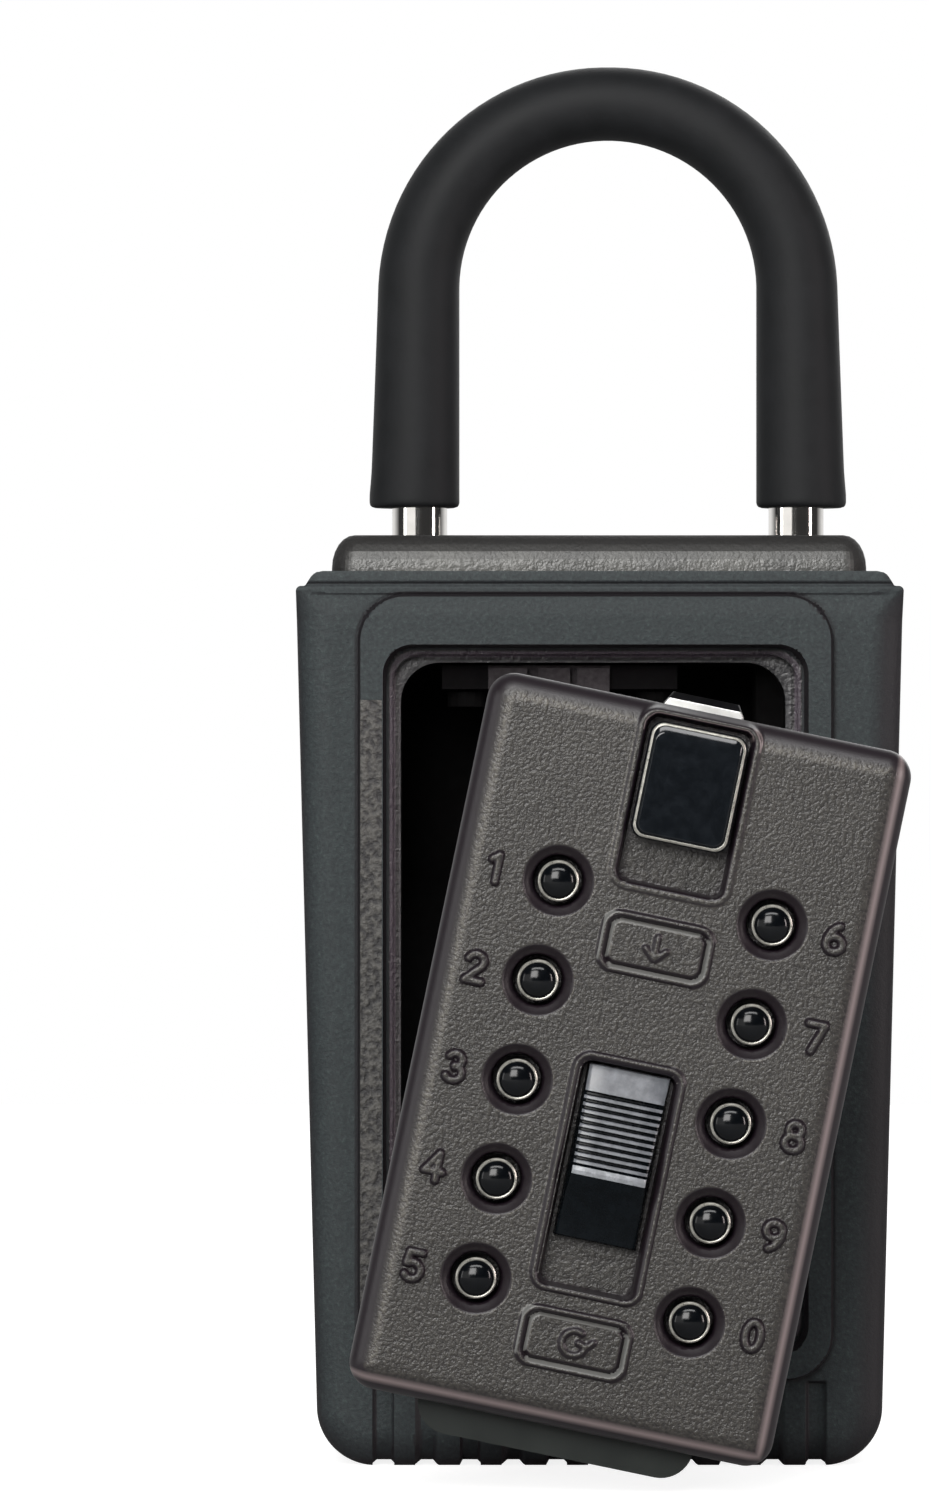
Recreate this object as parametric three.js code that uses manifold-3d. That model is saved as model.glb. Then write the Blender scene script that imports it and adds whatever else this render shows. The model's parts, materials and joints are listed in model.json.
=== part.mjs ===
// Portable key lock box: a die-cast case in a rubber jacket, hung by a sleeved shackle, with a loose
// push-button lid held in front of it. Millimetres, +Z up, the front faces -Y. The pieces are laid out
// from the middle of the case's bottom edge at the back, and the finished part hangs from its origin.
import * as THREE from "three";
import { mergeVertices } from "three/addons/utils/BufferGeometryUtils.js";
import Module from "manifold-3d";

const wasm = await Module();
wasm.setup();

// Gap between neighbouring pieces
const GAP = 0.3;

// Jacket: outline that narrows downwards, front plate, raised frame round the lid recess
const JACKET_TOP = 100.3;
const JACKET_HALF_TOP = 34.65;
const JACKET_HALF_BOTTOM = 32.1;
const JACKET_CORNER = 6.5;
const JACKET_SIDE_FRONT = -35.0;
const PLATE_FRONT = -36.5;
const PLATE_TOP = 102.0;
const PLATE_HALF_TOP = 33.2;
const FRAME_FRONT = -38.5;
const FRAME_X = -0.5;
const FRAME_Z = 54.6;
const FRAME_W = 54.2;
const FRAME_H = 89.6;
const FRAME_CORNER = 5.4;
const RECESS_Z = 53.2;
const RECESS_W = 48.4;
const RECESS_H = 80.8;
const RECESS_CORNER = 3.4;
const RIBS = 10;
const RIB_PITCH = 4.93;
const RIB_WIDTH = 2.6;
const RIB_DEPTH = 0.6;

// Case shell: die-cast block inside the jacket, open to the front
const SHELL_HALF_W = 30.6;
const SHELL_BOTTOM = 3.3;
const SHELL_TOP = 106.2;
const SHELL_BACK = -2.3;
const SHELL_FRONT = -34.2;
const SHELL_CORNER = 2.8;
const LEDGE_W = 46.2;
const LEDGE_H = 78.7;
const LEDGE_DEPTH = 1.7;
const CAVITY_X = -0.7;
const CAVITY_Z = 53.05;
const CAVITY_W = 44.0;
const CAVITY_H = 77.1;
const CAVITY_CORNER = 4.5;
const CAVITY_BACK = -6.0;
const GUIDE_SCREW_X = [-15.2, 6.5];

// Shackle: round steel bow, the left leg short and the right leg long
const ROD_R = 3.2;
const BORE_R = 3.5;
const LEG_LEFT = -20.7;
const LEG_RIGHT = 23.15;
const SHACKLE_Y = -19.0;
const BOW_Z = 135.1;
const SHORT_LEG_END = 93.1;
const LONG_LEG_END = 78.0;
const SLEEVE_END = 109.7;
const SLEEVE_R = 4.6;
const STOP_PIN_Z = 95.0;
const STOP_PIN_R = 0.8;
const LEG_NECK_R = 2.2;

// Lid: laid out about its own centre, +x right, +z up, y = 0 at the back of the cover
const LID_X = 2.7;
const LID_Y = -70.1;
const LID_Z = 46.7;
const LID_TURN = THREE.MathUtils.degToRad(11.75);
const LID_W = 47.2;
const LID_H = 79.8;
const LID_CORNER = 3.0;
const LID_THICK = 5.0;
const LID_EDGE_IN = 2.8;
const LID_EDGE_DEEP = 2.2;
const BUTTON_X = 11.9;
const ROW_TOP = 18.6;
const ROW_PITCH = 11.06;
const ROWS = 5;
const BUTTON_R = 2.3;
const BUTTON_HOLE_R = 2.6;
const BUTTON_DISH_R = 3.8;
const FLANGE_R = 3.4;
const POCKET_DEPTH = 2.7;
const POCKET_W = 12.0;
const LATCH_POCKET_TOP = 39.0;
const LATCH_POCKET_BOTTOM = 20.5;
const CLEAR_POCKET_TOP = 0.7;
const CLEAR_POCKET_BOTTOM = -24.9;
const LABEL_W = 11.2;
const LABEL_H = 5.4;
const LABEL_Z = [13.5, -30.4];
const KNOB_W = 10.8;
const KNOB_H = 13.0;
const KNOB_Z = 31.5;
const CLEAR_W = 9.3;
const CLEAR_TOP = -0.1;
const CLEAR_BOTTOM = -19.3;
const CLEAR_CREST = -12.0;
const PLATE_THICK = 1.2;
const TONGUE_W = 30.8;
const TONGUE_END = -43.4;
const BOLT_W = 8.9;
const BOLT_TOP = 41.5;
const HOUSING_W = 34.0;
const HOUSING_TOP = 26.0;
const HOUSING_BOTTOM = -33.0;
const HOUSING_FRONT = 1.8;
const HOUSING_BACK = 9.8;
const HOUSING_WALL = 1.5;
const EAR_X = 17.8;
const EAR_Z = [22.0, -29.0];
const STUD_R = 2.5;
const STUD_BACK = 10.6;

// ---------- solids ----------

// A three.js geometry as a manifold solid.
function solid(geometry) {
  const bare = geometry.index ? geometry.toNonIndexed() : geometry.clone();
  bare.deleteAttribute("normal");
  bare.deleteAttribute("uv");
  const merged = mergeVertices(bare, 1e-4);
  return new wasm.Manifold(
    new wasm.Mesh({
      numProp: 3,
      vertProperties: merged.attributes.position.array,
      triVerts: new Uint32Array(merged.index.array),
    }),
  );
}

// A manifold solid as a three.js geometry.
function geometryOf(body) {
  const mesh = body.getMesh();
  const geometry = new THREE.BufferGeometry();
  geometry.setAttribute("position", new THREE.BufferAttribute(mesh.vertProperties, 3));
  geometry.setIndex(new THREE.BufferAttribute(mesh.triVerts, 1));
  const flat = geometry.toNonIndexed();
  flat.computeVertexNormals();
  return flat;
}

function joined(bodies) {
  return bodies.reduce((whole, body) => whole.add(body));
}

function cut(body, tools) {
  return tools.reduce((rest, tool) => rest.subtract(tool), body);
}

// Rounded rectangle centred on (x, z).
function roundedRect(width, height, radius, x = 0, z = 0) {
  const shape = new THREE.Shape();
  const left = x - width / 2;
  const right = x + width / 2;
  const low = z - height / 2;
  const high = z + height / 2;
  shape.moveTo(left + radius, low);
  shape.lineTo(right - radius, low);
  shape.absarc(right - radius, low + radius, radius, -Math.PI / 2, 0, false);
  shape.lineTo(right, high - radius);
  shape.absarc(right - radius, high - radius, radius, 0, Math.PI / 2, false);
  shape.lineTo(left + radius, high);
  shape.absarc(left + radius, high - radius, radius, Math.PI / 2, Math.PI, false);
  shape.lineTo(left, low + radius);
  shape.absarc(left + radius, low + radius, radius, Math.PI, Math.PI * 1.5, false);
  return shape;
}

// An outline in x and z, given thickness from yBack forwards to yFront (yFront < yBack).
function panel(shape, yFront, yBack, segments = 4) {
  const geometry = new THREE.ExtrudeGeometry(shape, {
    depth: yBack - yFront,
    bevelEnabled: false,
    curveSegments: segments,
  });
  geometry.rotateX(Math.PI / 2);
  geometry.translate(0, yBack, 0);
  return solid(geometry);
}

// A box between two corners.
function block(x0, x1, y0, y1, z0, z1) {
  const geometry = new THREE.BoxGeometry(x1 - x0, y1 - y0, z1 - z0);
  geometry.translate((x0 + x1) / 2, (y0 + y1) / 2, (z0 + z1) / 2);
  return solid(geometry);
}

// A solid of revolution about the Y direction through (x, z). The profile lists [radius, y] from back to front.
function turned(profile, x, z, segments = 16) {
  const points = profile.map(([radius, y]) => new THREE.Vector2(radius, y)).reverse();
  const geometry = new THREE.LatheGeometry(points, segments);
  geometry.translate(x, 0, z);
  return solid(geometry);
}

// A round bar or hole tool along Y.
function rodY(radius, yFront, yBack, x, z, segments = 16) {
  return turned(
    [
      [0, yBack],
      [radius, yBack],
      [radius, yFront],
      [0, yFront],
    ],
    x,
    z,
    segments,
  );
}

// A round bar or hole tool along Z.
function rodZ(radius, zLow, zHigh, x, y, segments = 18) {
  const geometry = new THREE.CylinderGeometry(radius, radius, zHigh - zLow, segments);
  geometry.rotateX(Math.PI / 2);
  geometry.translate(x, y, (zLow + zHigh) / 2);
  return solid(geometry);
}

// A coil spring as one bent round wire. The helix axis runs along Y or Z from start to end.
class Helix extends THREE.Curve {
  constructor(radius, turns, start, end, along) {
    super();
    this.radius = radius;
    this.turns = turns;
    this.start = start;
    this.end = end;
    this.along = along;
  }
  getPoint(t, target = new THREE.Vector3()) {
    const angle = 2 * Math.PI * this.turns * t;
    const u = this.radius * Math.cos(angle);
    const v = this.radius * Math.sin(angle);
    const w = this.start + (this.end - this.start) * t;
    return this.along === "y" ? target.set(u, w, v) : target.set(u, v, w);
  }
}

function spring(radius, wire, turns, start, end, along, x, other) {
  const section = new THREE.Shape();
  section.absarc(0, 0, wire, 0, 2 * Math.PI, false);
  const geometry = new THREE.ExtrudeGeometry(section, {
    steps: turns * 8,
    curveSegments: 2.5,
    extrudePath: new Helix(radius, turns, start + wire, end - wire, along),
  });
  if (along === "y") geometry.translate(x, 0, other);
  else geometry.translate(x, other, 0);
  return solid(geometry);
}

// ---------- materials ----------

const MATERIALS = {
  rubber: { color: 0x484c4e, roughness: 0.75, metalness: 0.0 },
  paint: { color: 0x2b2c2c, roughness: 0.45, metalness: 0.1 },
  lidPaint: { color: 0x4b4845, roughness: 0.55, metalness: 0.1 },
  chrome: { color: 0xc8c6c2, roughness: 0.18, metalness: 1.0 },
  vinyl: { color: 0x26282a, roughness: 0.6, metalness: 0.0 },
  zinc: { color: 0x9c9a94, roughness: 0.4, metalness: 1.0 },
  steel: { color: 0x8f9194, roughness: 0.35, metalness: 1.0 },
  plate: { color: 0x2a302e, roughness: 0.4, metalness: 0.3 },
  brass: { color: 0xb08d4a, roughness: 0.35, metalness: 1.0 },
  blackPlastic: { color: 0x141618, roughness: 0.2, metalness: 0.0 },
  nylon: { color: 0x2e3031, roughness: 0.6, metalness: 0.0 },
};

function piece(name, body, look) {
  const mesh = new THREE.Mesh(geometryOf(body), new THREE.MeshStandardMaterial(MATERIALS[look]));
  mesh.name = name;
  return mesh;
}

// ---------- case ----------

// Jacket outline from the bottom to zTop, halfTop wide on each side at zTop.
function jacketOutline(zTop, halfTop, topRadius) {
  const lean = (JACKET_HALF_TOP - JACKET_HALF_BOTTOM) / JACKET_TOP;
  const bottom = halfTop - lean * zTop;
  const shape = new THREE.Shape();
  shape.moveTo(-bottom + JACKET_CORNER, 0);
  shape.lineTo(bottom - JACKET_CORNER, 0);
  shape.quadraticCurveTo(bottom, 0, bottom + lean * JACKET_CORNER, JACKET_CORNER);
  shape.lineTo(halfTop - lean * topRadius, zTop - topRadius);
  shape.quadraticCurveTo(halfTop, zTop, halfTop - topRadius, zTop);
  shape.lineTo(-halfTop + topRadius, zTop);
  shape.quadraticCurveTo(-halfTop, zTop, -halfTop + lean * topRadius, zTop - topRadius);
  shape.lineTo(-bottom - lean * JACKET_CORNER, JACKET_CORNER);
  shape.quadraticCurveTo(-bottom, 0, -bottom + JACKET_CORNER, 0);
  return shape;
}

// The lid recess through the raised frame, wider at its mouth so that the lid finds its way in.
function recessTool() {
  const mouth = 0.5;
  const geometry = new THREE.ExtrudeGeometry(
    roundedRect(RECESS_W, RECESS_H, RECESS_CORNER, 0, 0),
    { depth: 1, bevelEnabled: false, curveSegments: 4 },
  );
  const deep = SHELL_FRONT + 0.1;
  const position = geometry.getAttribute("position");
  for (let i = 0; i < position.count; i += 1) {
    const front = position.getZ(i) > 0.5;
    const spread = front ? mouth : -mouth;
    const x = position.getX(i);
    const z = position.getY(i);
    const y = front ? FRAME_FRONT - 0.2 : deep;
    position.setXYZ(i, x * (1 + (2 * spread) / RECESS_W), y, z * (1 + (2 * spread) / RECESS_H));
  }
  geometry.translate(FRAME_X, 0, RECESS_Z);
  return solid(geometry);
}

function rubberJacket() {
  const sides = panel(jacketOutline(JACKET_TOP, JACKET_HALF_TOP, 1.5), JACKET_SIDE_FRONT, 0, 6);
  const plate = panel(jacketOutline(PLATE_TOP, PLATE_HALF_TOP, 1.8), PLATE_FRONT, JACKET_SIDE_FRONT + 0.5, 6);
  const frame = panel(
    roundedRect(FRAME_W, FRAME_H, FRAME_CORNER, FRAME_X, FRAME_Z),
    FRAME_FRONT,
    PLATE_FRONT + 0.5,
    5,
  );
  const pocket = block(
    -SHELL_HALF_W - GAP,
    SHELL_HALF_W + GAP,
    SHELL_FRONT - GAP,
    SHELL_BACK + GAP,
    SHELL_BOTTOM - GAP,
    SHELL_TOP,
  );
  const grooves = [];
  const grooveWidth = RIB_PITCH - RIB_WIDTH;
  const frameBottom = FRAME_Z - FRAME_H / 2;
  for (let i = 0; i <= RIBS; i += 1) {
    const x = (i - RIBS / 2) * RIB_PITCH;
    const left = x - grooveWidth / 2;
    grooves.push(block(left, left + grooveWidth, -36, -4, -1, RIB_DEPTH));
    grooves.push(block(left, left + grooveWidth, -40, PLATE_FRONT + RIB_DEPTH, -1, frameBottom));
  }
  return cut(joined([sides, plate, frame]), [pocket, recessTool(), ...grooves]);
}

function caseShell() {
  const outline = roundedRect(
    2 * SHELL_HALF_W,
    SHELL_BACK - SHELL_FRONT,
    SHELL_CORNER,
    0,
    (SHELL_BACK + SHELL_FRONT) / 2,
  );
  const roundingTall = 3.8;
  const roundingIn = 2.6;
  const geometry = new THREE.ExtrudeGeometry(outline, {
    depth: SHELL_TOP - SHELL_BOTTOM - 2 * roundingTall,
    bevelThickness: roundingTall,
    bevelSize: roundingIn,
    bevelOffset: -roundingIn,
    bevelSegments: 6,
    curveSegments: 5,
  });
  geometry.translate(0, 0, SHELL_BOTTOM + roundingTall);
  const cavity = panel(
    roundedRect(CAVITY_W, CAVITY_H, CAVITY_CORNER, CAVITY_X, CAVITY_Z),
    SHELL_FRONT - 1,
    CAVITY_BACK,
    5,
  );
  const ledge = panel(
    roundedRect(LEDGE_W, LEDGE_H, RECESS_CORNER, FRAME_X, RECESS_Z),
    SHELL_FRONT - 1,
    SHELL_FRONT + LEDGE_DEPTH,
    4,
  );
  // Column in the top right corner of the cavity that houses the long leg
  const column = block(18.2, 24, -25, -13, LONG_LEG_END - 2.6, 93);
  const shortBore = rodZ(BORE_R, SHORT_LEG_END - GAP, SHELL_TOP + 1, LEG_LEFT, SHACKLE_Y);
  const longBore = rodZ(BORE_R, LONG_LEG_END - GAP, SHELL_TOP + 1, LEG_RIGHT, SHACKLE_Y);
  const channel = block(-21.5, -4.6, -21, -17, 95.6, 99);
  const slot = block(-13, -4.6, -21, -17, 90, 98);
  const pinHole = rodY(STOP_PIN_R + GAP, -31.5, 0, LEG_RIGHT - ROD_R - 0.05, STOP_PIN_Z, 12);
  const screwHoles = GUIDE_SCREW_X.map((x) => rodZ(1.3, 90, 96, x, -26, 10));
  const body = cut(solid(geometry), [cavity, ledge]).add(column);
  return cut(body, [shortBore, longBore, channel, slot, pinHole, ...screwHoles]);
}

// Block under the roof of the cavity that carries the release slide.
function guideBlock() {
  const base = block(-18, 9, -29.5, -12, 88.6, 91.3);
  const feet = [
    [-12.6, -8.2],
    [-6.9, -3.3],
    [-2.5, 1.2],
  ].map(([x0, x1]) => block(x0, x1, -30.5, -23, 87.9, 91.0));
  const slot = block(-13, -4.6, -21.2, -16.8, 80, 95);
  const screwHoles = GUIDE_SCREW_X.map((x) => rodZ(1.3, 80, 96, x, -26, 10));
  return cut(joined([base, ...feet]), [slot, ...screwHoles]);
}

function guideScrew(x) {
  return joined([rodZ(2.2, 86.6, 88.3, x, -26, 14), rodZ(1.0, 87, 95, x, -26, 10)]);
}

// Bar that reaches for the notch in the short leg, and a thumb pad that hangs into the cavity.
function releaseSlide() {
  const bar = block(-16.8, -7.2, -20.7, -17.3, 96, 98.6);
  const stem = block(-10.6, -7.2, -20.7, -17.3, 86, 97);
  const pad = block(-11.6, -6.2, -23.5, -14.5, 83.6, 86.4);
  return joined([bar, stem, pad]);
}

// The bow's centre line: up the left leg, round the arch and down the right leg.
class Bow extends THREE.Curve {
  constructor(leftEnd, rightEnd) {
    super();
    this.leftEnd = leftEnd;
    this.up = BOW_Z - leftEnd;
    this.radius = (LEG_RIGHT - LEG_LEFT) / 2;
    this.round = Math.PI * this.radius;
    this.down = BOW_Z - rightEnd;
  }
  getPoint(t, target = new THREE.Vector3()) {
    const s = t * (this.up + this.round + this.down);
    if (s <= this.up) return target.set(LEG_LEFT, SHACKLE_Y, this.leftEnd + s);
    if (s >= this.up + this.round) {
      return target.set(LEG_RIGHT, SHACKLE_Y, BOW_Z - (s - this.up - this.round));
    }
    const angle = Math.PI - (s - this.up) / this.radius;
    const middle = (LEG_LEFT + LEG_RIGHT) / 2;
    const x = middle + this.radius * Math.cos(angle);
    return target.set(x, SHACKLE_Y, BOW_Z + this.radius * Math.sin(angle));
  }
}

function shackle() {
  const section = new THREE.Shape();
  section.absarc(0, 0, ROD_R, 0, 2 * Math.PI, false);
  const bow = solid(
    new THREE.ExtrudeGeometry(section, {
      steps: 46,
      curveSegments: 7,
      extrudePath: new Bow(SHORT_LEG_END, LONG_LEG_END),
    }),
  );
  const notch = block(-19.4, -17, -24, -14, 95.5, 99.1);
  const neckLow = LONG_LEG_END + 1.6;
  const neckHigh = STOP_PIN_Z + 1.4;
  const neckTool = cut(rodZ(ROD_R + 1, neckLow, neckHigh, LEG_RIGHT, SHACKLE_Y), [
    rodZ(LEG_NECK_R, neckLow - 1, neckHigh + 1, LEG_RIGHT, SHACKLE_Y),
  ]);
  return cut(bow, [notch, neckTool]);
}

function shackleSleeve() {
  const section = new THREE.Shape();
  section.absarc(0, 0, SLEEVE_R, 0, 2 * Math.PI, false);
  const bore = new THREE.Path();
  bore.absarc(0, 0, ROD_R + GAP, 0, 2 * Math.PI, false);
  section.holes.push(bore);
  return solid(
    new THREE.ExtrudeGeometry(section, {
      steps: 30,
      curveSegments: 7,
      extrudePath: new Bow(SLEEVE_END, SLEEVE_END),
    }),
  );
}

// ---------- lid ----------

// Places of the ten buttons: digits 1 to 5 down the left, 6 to 9 and 0 down the right.
const KEYPAD = [1, 2, 3, 4, 5, 6, 7, 8, 9, 0].map((digit, i) => ({
  digit,
  x: i < ROWS ? -BUTTON_X : BUTTON_X,
  z: ROW_TOP - (i % ROWS) * ROW_PITCH,
}));

function lidCover() {
  const geometry = new THREE.ExtrudeGeometry(roundedRect(LID_W, LID_H, LID_CORNER), {
    depth: LID_THICK - LID_EDGE_DEEP,
    bevelThickness: LID_EDGE_DEEP,
    bevelSize: LID_EDGE_IN,
    bevelOffset: -LID_EDGE_IN,
    bevelSegments: 4,
    curveSegments: 4,
  });
  geometry.rotateX(Math.PI / 2);
  const slab = solid(geometry).subtract(block(-40, 40, 0, 4, -60, 60));
  const rimTop = LID_H / 2;
  const rimHeight = rimTop - LATCH_POCKET_BOTTOM + 0.8;
  const rim = panel(
    roundedRect(POCKET_W + 2, rimHeight, 1.6, 0, rimTop - rimHeight / 2),
    -LID_THICK,
    -1,
    3,
  );
  const floorY = -LID_THICK + POCKET_DEPTH;
  const pockets = [
    [LATCH_POCKET_TOP, LATCH_POCKET_BOTTOM],
    [CLEAR_POCKET_TOP, CLEAR_POCKET_BOTTOM],
  ].map(([top, bottom]) =>
    panel(roundedRect(POCKET_W, top - bottom, 1.4, 0, (top + bottom) / 2), -9, floorY, 3),
  );
  const labels = LABEL_Z.map((z) => {
    const outer = panel(roundedRect(LABEL_W, LABEL_H, 1.3, 0, z), -9, -LID_THICK + 0.5, 3);
    return outer.subtract(panel(roundedRect(LABEL_W - 1.2, LABEL_H - 1.2, 0.9, 0, z), -10, 0, 3));
  });
  const stemSlots = [block(-2.5, 2.5, -9, 1, 26.0, 36.3), block(-1.9, 1.9, -9, 1, -18.4, -6.0)];
  const wells = KEYPAD.map(({ x, z }) =>
    turned(
      [
        [0, 1],
        [FLANGE_R + GAP, 1],
        [FLANGE_R + GAP, -2.6],
        [BUTTON_HOLE_R, -2.6],
        [BUTTON_HOLE_R, -4.2],
        [BUTTON_DISH_R, -5.05],
        [BUTTON_DISH_R, -9],
        [0, -9],
      ],
      x,
      z,
      16,
    ),
  );
  const pilots = earPlaces().map(([x, z]) => rodY(1.3, -2.6, 1, x, z, 10));
  return cut(slab.add(rim), [...pockets, ...labels, ...stemSlots, ...wells, ...pilots]);
}

function earPlaces() {
  return EAR_Z.flatMap((z) => [
    [-EAR_X, z],
    [EAR_X, z],
  ]);
}

// Sheet behind the cover, with the tongue at its foot and a channel for the latch plate.
function backPlate() {
  const sheet = panel(roundedRect(43, 75.4, 3), GAP, GAP + PLATE_THICK, 3);
  const tongueHeight = 12;
  const tongue = panel(
    roundedRect(TONGUE_W, tongueHeight, 3.6, 0, TONGUE_END + tongueHeight / 2),
    GAP,
    GAP + PLATE_THICK,
    5,
  );
  const channel = block(-4.8, 4.8, -1, 3, 12.4, 41);
  const slideWindow = block(-2.4, 2.4, -1, 3, -20, 4);
  const stems = KEYPAD.map(({ x, z }) => rodY(2.5, -1, 3, x, z, 14));
  const screwHoles = earPlaces().map(([x, z]) => rodY(1.3, -1, 3, x, z, 10));
  const post = block(-2.6, 2.6, 1, 5.6, 6.2, 7.4);
  return cut(sheet.add(tongue), [channel, slideWindow, ...stems, ...screwHoles]).add(post);
}

// Tray over the mechanism, with an ear at each corner and a hole for each code stud.
function mechanismCover() {
  const middle = (HOUSING_TOP + HOUSING_BOTTOM) / 2;
  const height = HOUSING_TOP - HOUSING_BOTTOM;
  const outer = panel(roundedRect(HOUSING_W, height, 2.5, 0, middle), HOUSING_FRONT, HOUSING_BACK, 3);
  const inner = panel(
    roundedRect(HOUSING_W - 2 * HOUSING_WALL, height - 2 * HOUSING_WALL, 1.2, 0, middle),
    HOUSING_FRONT - 1,
    HOUSING_BACK - HOUSING_WALL,
    3,
  );
  const ears = earPlaces().map(([x, z]) => rodY(2.6, HOUSING_FRONT, HOUSING_FRONT + 1.5, x, z, 16));
  const screwHoles = earPlaces().map(([x, z]) => rodY(1.3, -1, 4, x, z, 10));
  const headRoom = earPlaces().map(([x, z]) => rodY(2.4, HOUSING_FRONT + 1.5, 12, x, z, 14));
  const studHoles = KEYPAD.map(({ x, z }) => rodY(STUD_R + 0.2, 5, 12, x, z, 14));
  return cut(joined([outer, ...ears]).subtract(inner), [...screwHoles, ...headRoom, ...studHoles]);
}

function coverScrew(x, z) {
  const head = rodY(2.0, 3.6, 5.0, x, z, 14);
  const driveSlot = block(x - 3, x + 3, 4.5, 6, z - 0.3, z + 0.3);
  return rodY(1.0, -2.3, 4, x, z, 10).add(head).subtract(driveSlot);
}

// Push button: domed head, flange behind the cover, stepped stem towards the code stud.
function button(x, z) {
  return turned(
    [
      [0, 4.9],
      [1.0, 4.9],
      [1.0, 3.2],
      [2.2, 3.2],
      [2.2, -1.5],
      [FLANGE_R, -1.5],
      [FLANGE_R, -2.3],
      [BUTTON_R, -2.3],
      [BUTTON_R, -4.5],
      [1.9, -5.1],
      [1.1, -5.6],
      [0, -5.75],
    ],
    x,
    z,
    14,
  );
}

function buttonSpring(x, z) {
  return spring(1.65, 0.22, 3, 3.4, 6.8, "y", x, z);
}

// Slotted stud: flange inside the cover, body through it, driver slot at the back.
function codeStud(x, z) {
  const body = turned(
    [
      [0, STUD_BACK],
      [STUD_R, STUD_BACK],
      [STUD_R, 8.0],
      [3.1, 8.0],
      [3.1, 7.0],
      [0, 7.0],
    ],
    x,
    z,
    16,
  );
  return body.subtract(block(x - 0.45, x + 0.45, STUD_BACK - 0.9, 12, z - 3, z + 3));
}

function openKnob() {
  const rounding = 0.9;
  const front = -6.4;
  const back = -LID_THICK + POCKET_DEPTH - GAP;
  const geometry = new THREE.ExtrudeGeometry(roundedRect(KNOB_W, KNOB_H, 1.3, 0, KNOB_Z), {
    depth: back - front - rounding,
    bevelThickness: rounding,
    bevelSize: rounding,
    bevelOffset: -rounding,
    bevelSegments: 3,
    curveSegments: 3,
  });
  geometry.rotateX(Math.PI / 2);
  geometry.translate(0, back, 0);
  const pad = solid(geometry).subtract(block(-20, 20, back, 4, 0, 60));
  return pad.add(block(-2.1, 2.1, back - 0.5, 0, KNOB_Z - 1, KNOB_Z + 4.5));
}

// Latch plate: strip behind the knob, bevelled bolt at the top, tab for its spring at the foot.
function latchPlate() {
  const strip = block(-4.45, 4.45, GAP, GAP + PLATE_THICK, 17.6, 40);
  const shape = new THREE.Shape();
  shape.moveTo(-BOLT_W / 2, 36);
  shape.lineTo(BOLT_W / 2, 36);
  shape.lineTo(BOLT_W / 2, 40.2);
  shape.lineTo(3.8, BOLT_TOP);
  shape.lineTo(-3.8, BOLT_TOP);
  shape.lineTo(-BOLT_W / 2, 40.2);
  const bolt = panel(shape, GAP, GAP + PLATE_THICK);
  const tab = block(-2.2, 2.2, 1, 5.6, 17.6, 18.8);
  return joined([strip, bolt, tab]);
}

// Thumb slide: a ramp that rises to a crest, cut by grooves, and falls again, with a stem behind.
function clearSlide() {
  const back = -LID_THICK + POCKET_DEPTH - GAP;
  const low = -4.0;
  const high = -6.6;
  const side = new THREE.Shape();
  side.moveTo(CLEAR_TOP, back);
  side.lineTo(CLEAR_TOP, low);
  side.lineTo(CLEAR_TOP - 3.1, low - 0.5);
  side.lineTo(CLEAR_CREST, high);
  side.lineTo(CLEAR_BOTTOM, low);
  side.lineTo(CLEAR_BOTTOM, back);
  const geometry = new THREE.ExtrudeGeometry(side, { depth: CLEAR_W, bevelEnabled: false });
  geometry.rotateY(-Math.PI / 2);
  geometry.translate(CLEAR_W / 2, 0, 0);
  const grooves = [];
  for (let i = 0; i < 9; i += 1) {
    const share = i / 9;
    const z = CLEAR_TOP - 3.4 - share * (-CLEAR_CREST - 3.6);
    const y = low - 0.5 + share * (high - low + 0.5);
    grooves.push(block(-6, 6, y - 3, y + 0.25, z - 0.22, z + 0.22));
  }
  const stem = block(-1.5, 1.5, back - 0.5, 1.7, -13.2, -6.4);
  return cut(solid(geometry), grooves).add(stem);
}

// Plate that carries the fingers which reset the buttons.
function clearPlate() {
  const strip = block(-6.5, 6.5, 2.0, 3.0, -21, 4);
  const fingers = KEYPAD.slice(2, 4).map(({ z }) => block(-9.2, 9.2, 2.0, 3.0, z + 3.2, z + 4.6));
  return joined([strip, ...fingers]);
}

// ---------- assembly ----------

const lockBox = new THREE.Group();

lockBox.add(piece("rubber_jacket", rubberJacket(), "rubber"));
lockBox.add(piece("case_shell", caseShell(), "paint"));
lockBox.add(piece("guide_block", guideBlock(), "zinc"));
lockBox.add(piece("release_slide", releaseSlide(), "zinc"));
lockBox.add(piece("guide_screw_1", guideScrew(GUIDE_SCREW_X[0]), "steel"));
lockBox.add(piece("guide_screw_2", guideScrew(GUIDE_SCREW_X[1]), "steel"));
lockBox.add(
  piece("stop_pin", rodY(STOP_PIN_R, -31, -3, LEG_RIGHT - ROD_R - 0.05, STOP_PIN_Z, 12), "steel"),
);
lockBox.add(piece("shackle", shackle(), "chrome"));
lockBox.add(piece("shackle_sleeve", shackleSleeve(), "vinyl"));

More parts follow.
